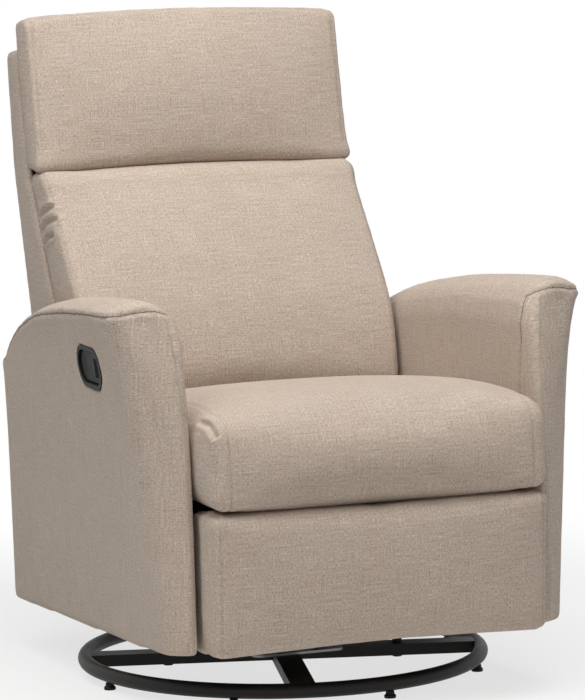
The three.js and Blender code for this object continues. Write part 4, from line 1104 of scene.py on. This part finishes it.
def paddleOutline(settings):
    # round at the pin's end, square with round corners where the fingers pull
    half, rear, front, corner = (settings[key] for key in ("half", "rear", "front", "corner"))
    points = []
    for step in range(19):
        angle = -math.pi / 2 + math.pi * step / 18
        points.append((rear - half + half * math.cos(angle), half * math.sin(angle)))
    for centreV, first in ((half - corner, math.pi / 2), (corner - half, math.pi)):
        for step in range(7):
            angle = first + math.pi / 2 * step / 6
            points.append((front + corner + corner * math.cos(angle), centreV + corner * math.sin(angle)))
    return points


def shapePaddle(settings):
    centre, level, up, out = (Vector(settings[key]) for key in ("centre", "level", "up", "out"))

    def at(along, across, height):
        return centre + level * along + up * across + out * height

    work = bmesh.new()
    outline = paddleOutline(settings)
    middle = ((settings["rear"] + settings["front"]) / 2, 0.0)
    top = -settings["below"]
    rings = []
    levels = (
        (1.0, settings["thick"]), (1.0, 0.0012), (0.985, 0.0004), (0.955, 0.0),
        (0.80, settings["dish"] * 0.35), (0.5, settings["dish"]),
    )
    for shrink, depth in levels:
        row = []
        for along, across in outline:
            place = middle[0] + (along - middle[0]) * shrink
            row.append(work.verts.new(at(place, across * shrink, top - depth)))
        rings.append(row)
    for lower, upper in zip(rings, rings[1:]):
        for number in range(len(outline)):
            over = (number + 1) % len(outline)
            work.faces.new((lower[number], lower[over], upper[over], upper[number]))
    for row, height in ((rings[0], top - settings["thick"]), (rings[-1], top - settings["dish"])):
        pole = work.verts.new(at(middle[0], 0, height))
        for number in range(len(row)):
            work.faces.new((row[number], row[(number + 1) % len(row)], pole))
    for along in settings["ribs"]:
        # finger ribs
        corners = []
        for height in (top - 0.004, top + settings["ribHeight"] * 0.4):
            for spread, reach in ((-1, -1), (1, -1), (1, 1), (-1, 1)):
                width = 0.0011 if height < top - 0.002 else 0.0007
                across = reach * settings["half"] * settings["ribShare"]
                corners.append(work.verts.new(at(along + spread * width, across, height)))
        for face in ((0, 1, 2, 3), (7, 6, 5, 4), (0, 4, 5, 1), (1, 5, 6, 2), (2, 6, 7, 3), (3, 7, 4, 0)):
            work.faces.new([corners[number] for number in face])
    pin = bmesh.ops.create_cone(
        work, cap_ends=True, segments=16, radius1=settings["pinRadius"], radius2=settings["pinRadius"],
        depth=2 * settings["pinHalf"],
    )
    turn = Matrix((level, out, up)).transposed()
    for vertex in pin["verts"]:
        vertex.co = at(settings["pinAlong"], 0, top - settings["thick"] / 2) + turn @ vertex.co
    piece = solidFrom("leverHandle", work, plastic, "lever")
    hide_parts("lever_paddle")


shapePaddle(paddleSet)
print("lever handle shaped")


def boxedCloth(name, settings, body):
    # a soft-edged block in the chair's cloth
    work = bmesh.new()
    bmesh.ops.create_cube(work, size=1.0)
    low, high = Vector(settings["low"]), Vector(settings["high"])
    for vertex in work.verts:
        vertex.co = Vector(((vertex.co[k] + 0.5) * (high[k] - low[k]) + low[k]) for k in range(3))
    bmesh.ops.bevel(
        work, geom=work.edges[:], offset=settings["round"], segments=3, profile=0.5, affect="EDGES",
    )
    piece = solidFrom(name, work, linen, body)
    remeshPad(piece, settings["voxel"])
    layCloth(piece)
    piece.data.materials.clear()
    piece.data.materials.append(linen)
    piece.data.shade_smooth()
    return piece


# the pad's cover is drawn round the board's edges and stapled behind it
wrapSet = {
    "low": (-0.2655, -0.392, 0.1005), "high": (0.2655, -0.3592, 0.3095), "round": 0.006, "voxel": 0.005,
}
boxedCloth("footWrap", wrapSet, "footrest")
stapleSizes = {"Spacing": 0.034, "Length": 0.011, "Thickness": 0.0012}
board = [(-0.243, -0.3586, 0.112), (0.243, -0.3586, 0.112), (0.243, -0.3586, 0.190)]
top = [(0.212, -0.3586, 0.297), (-0.212, -0.3586, 0.297)]
for name, corners in (("lowStaples", [(-0.243, -0.3586, 0.190)] + board), ("highStaples", top)):
    row = pathMesh(name, [Vector(corner) for corner in corners])
    grow(name, threadTree, row, stapleSizes, zinc, "footrest")
print("footrest wrapped")

# behind the seat cushion a firm deck pad fills the space under the back cushion
deckSet = {"low": (-0.262, 0.0565, 0.3114), "high": (0.262, 0.174, 0.384), "round": 0.016, "voxel": 0.006}
boxedCloth("deckPad", deckSet, "seat")
print("seat deck laid")
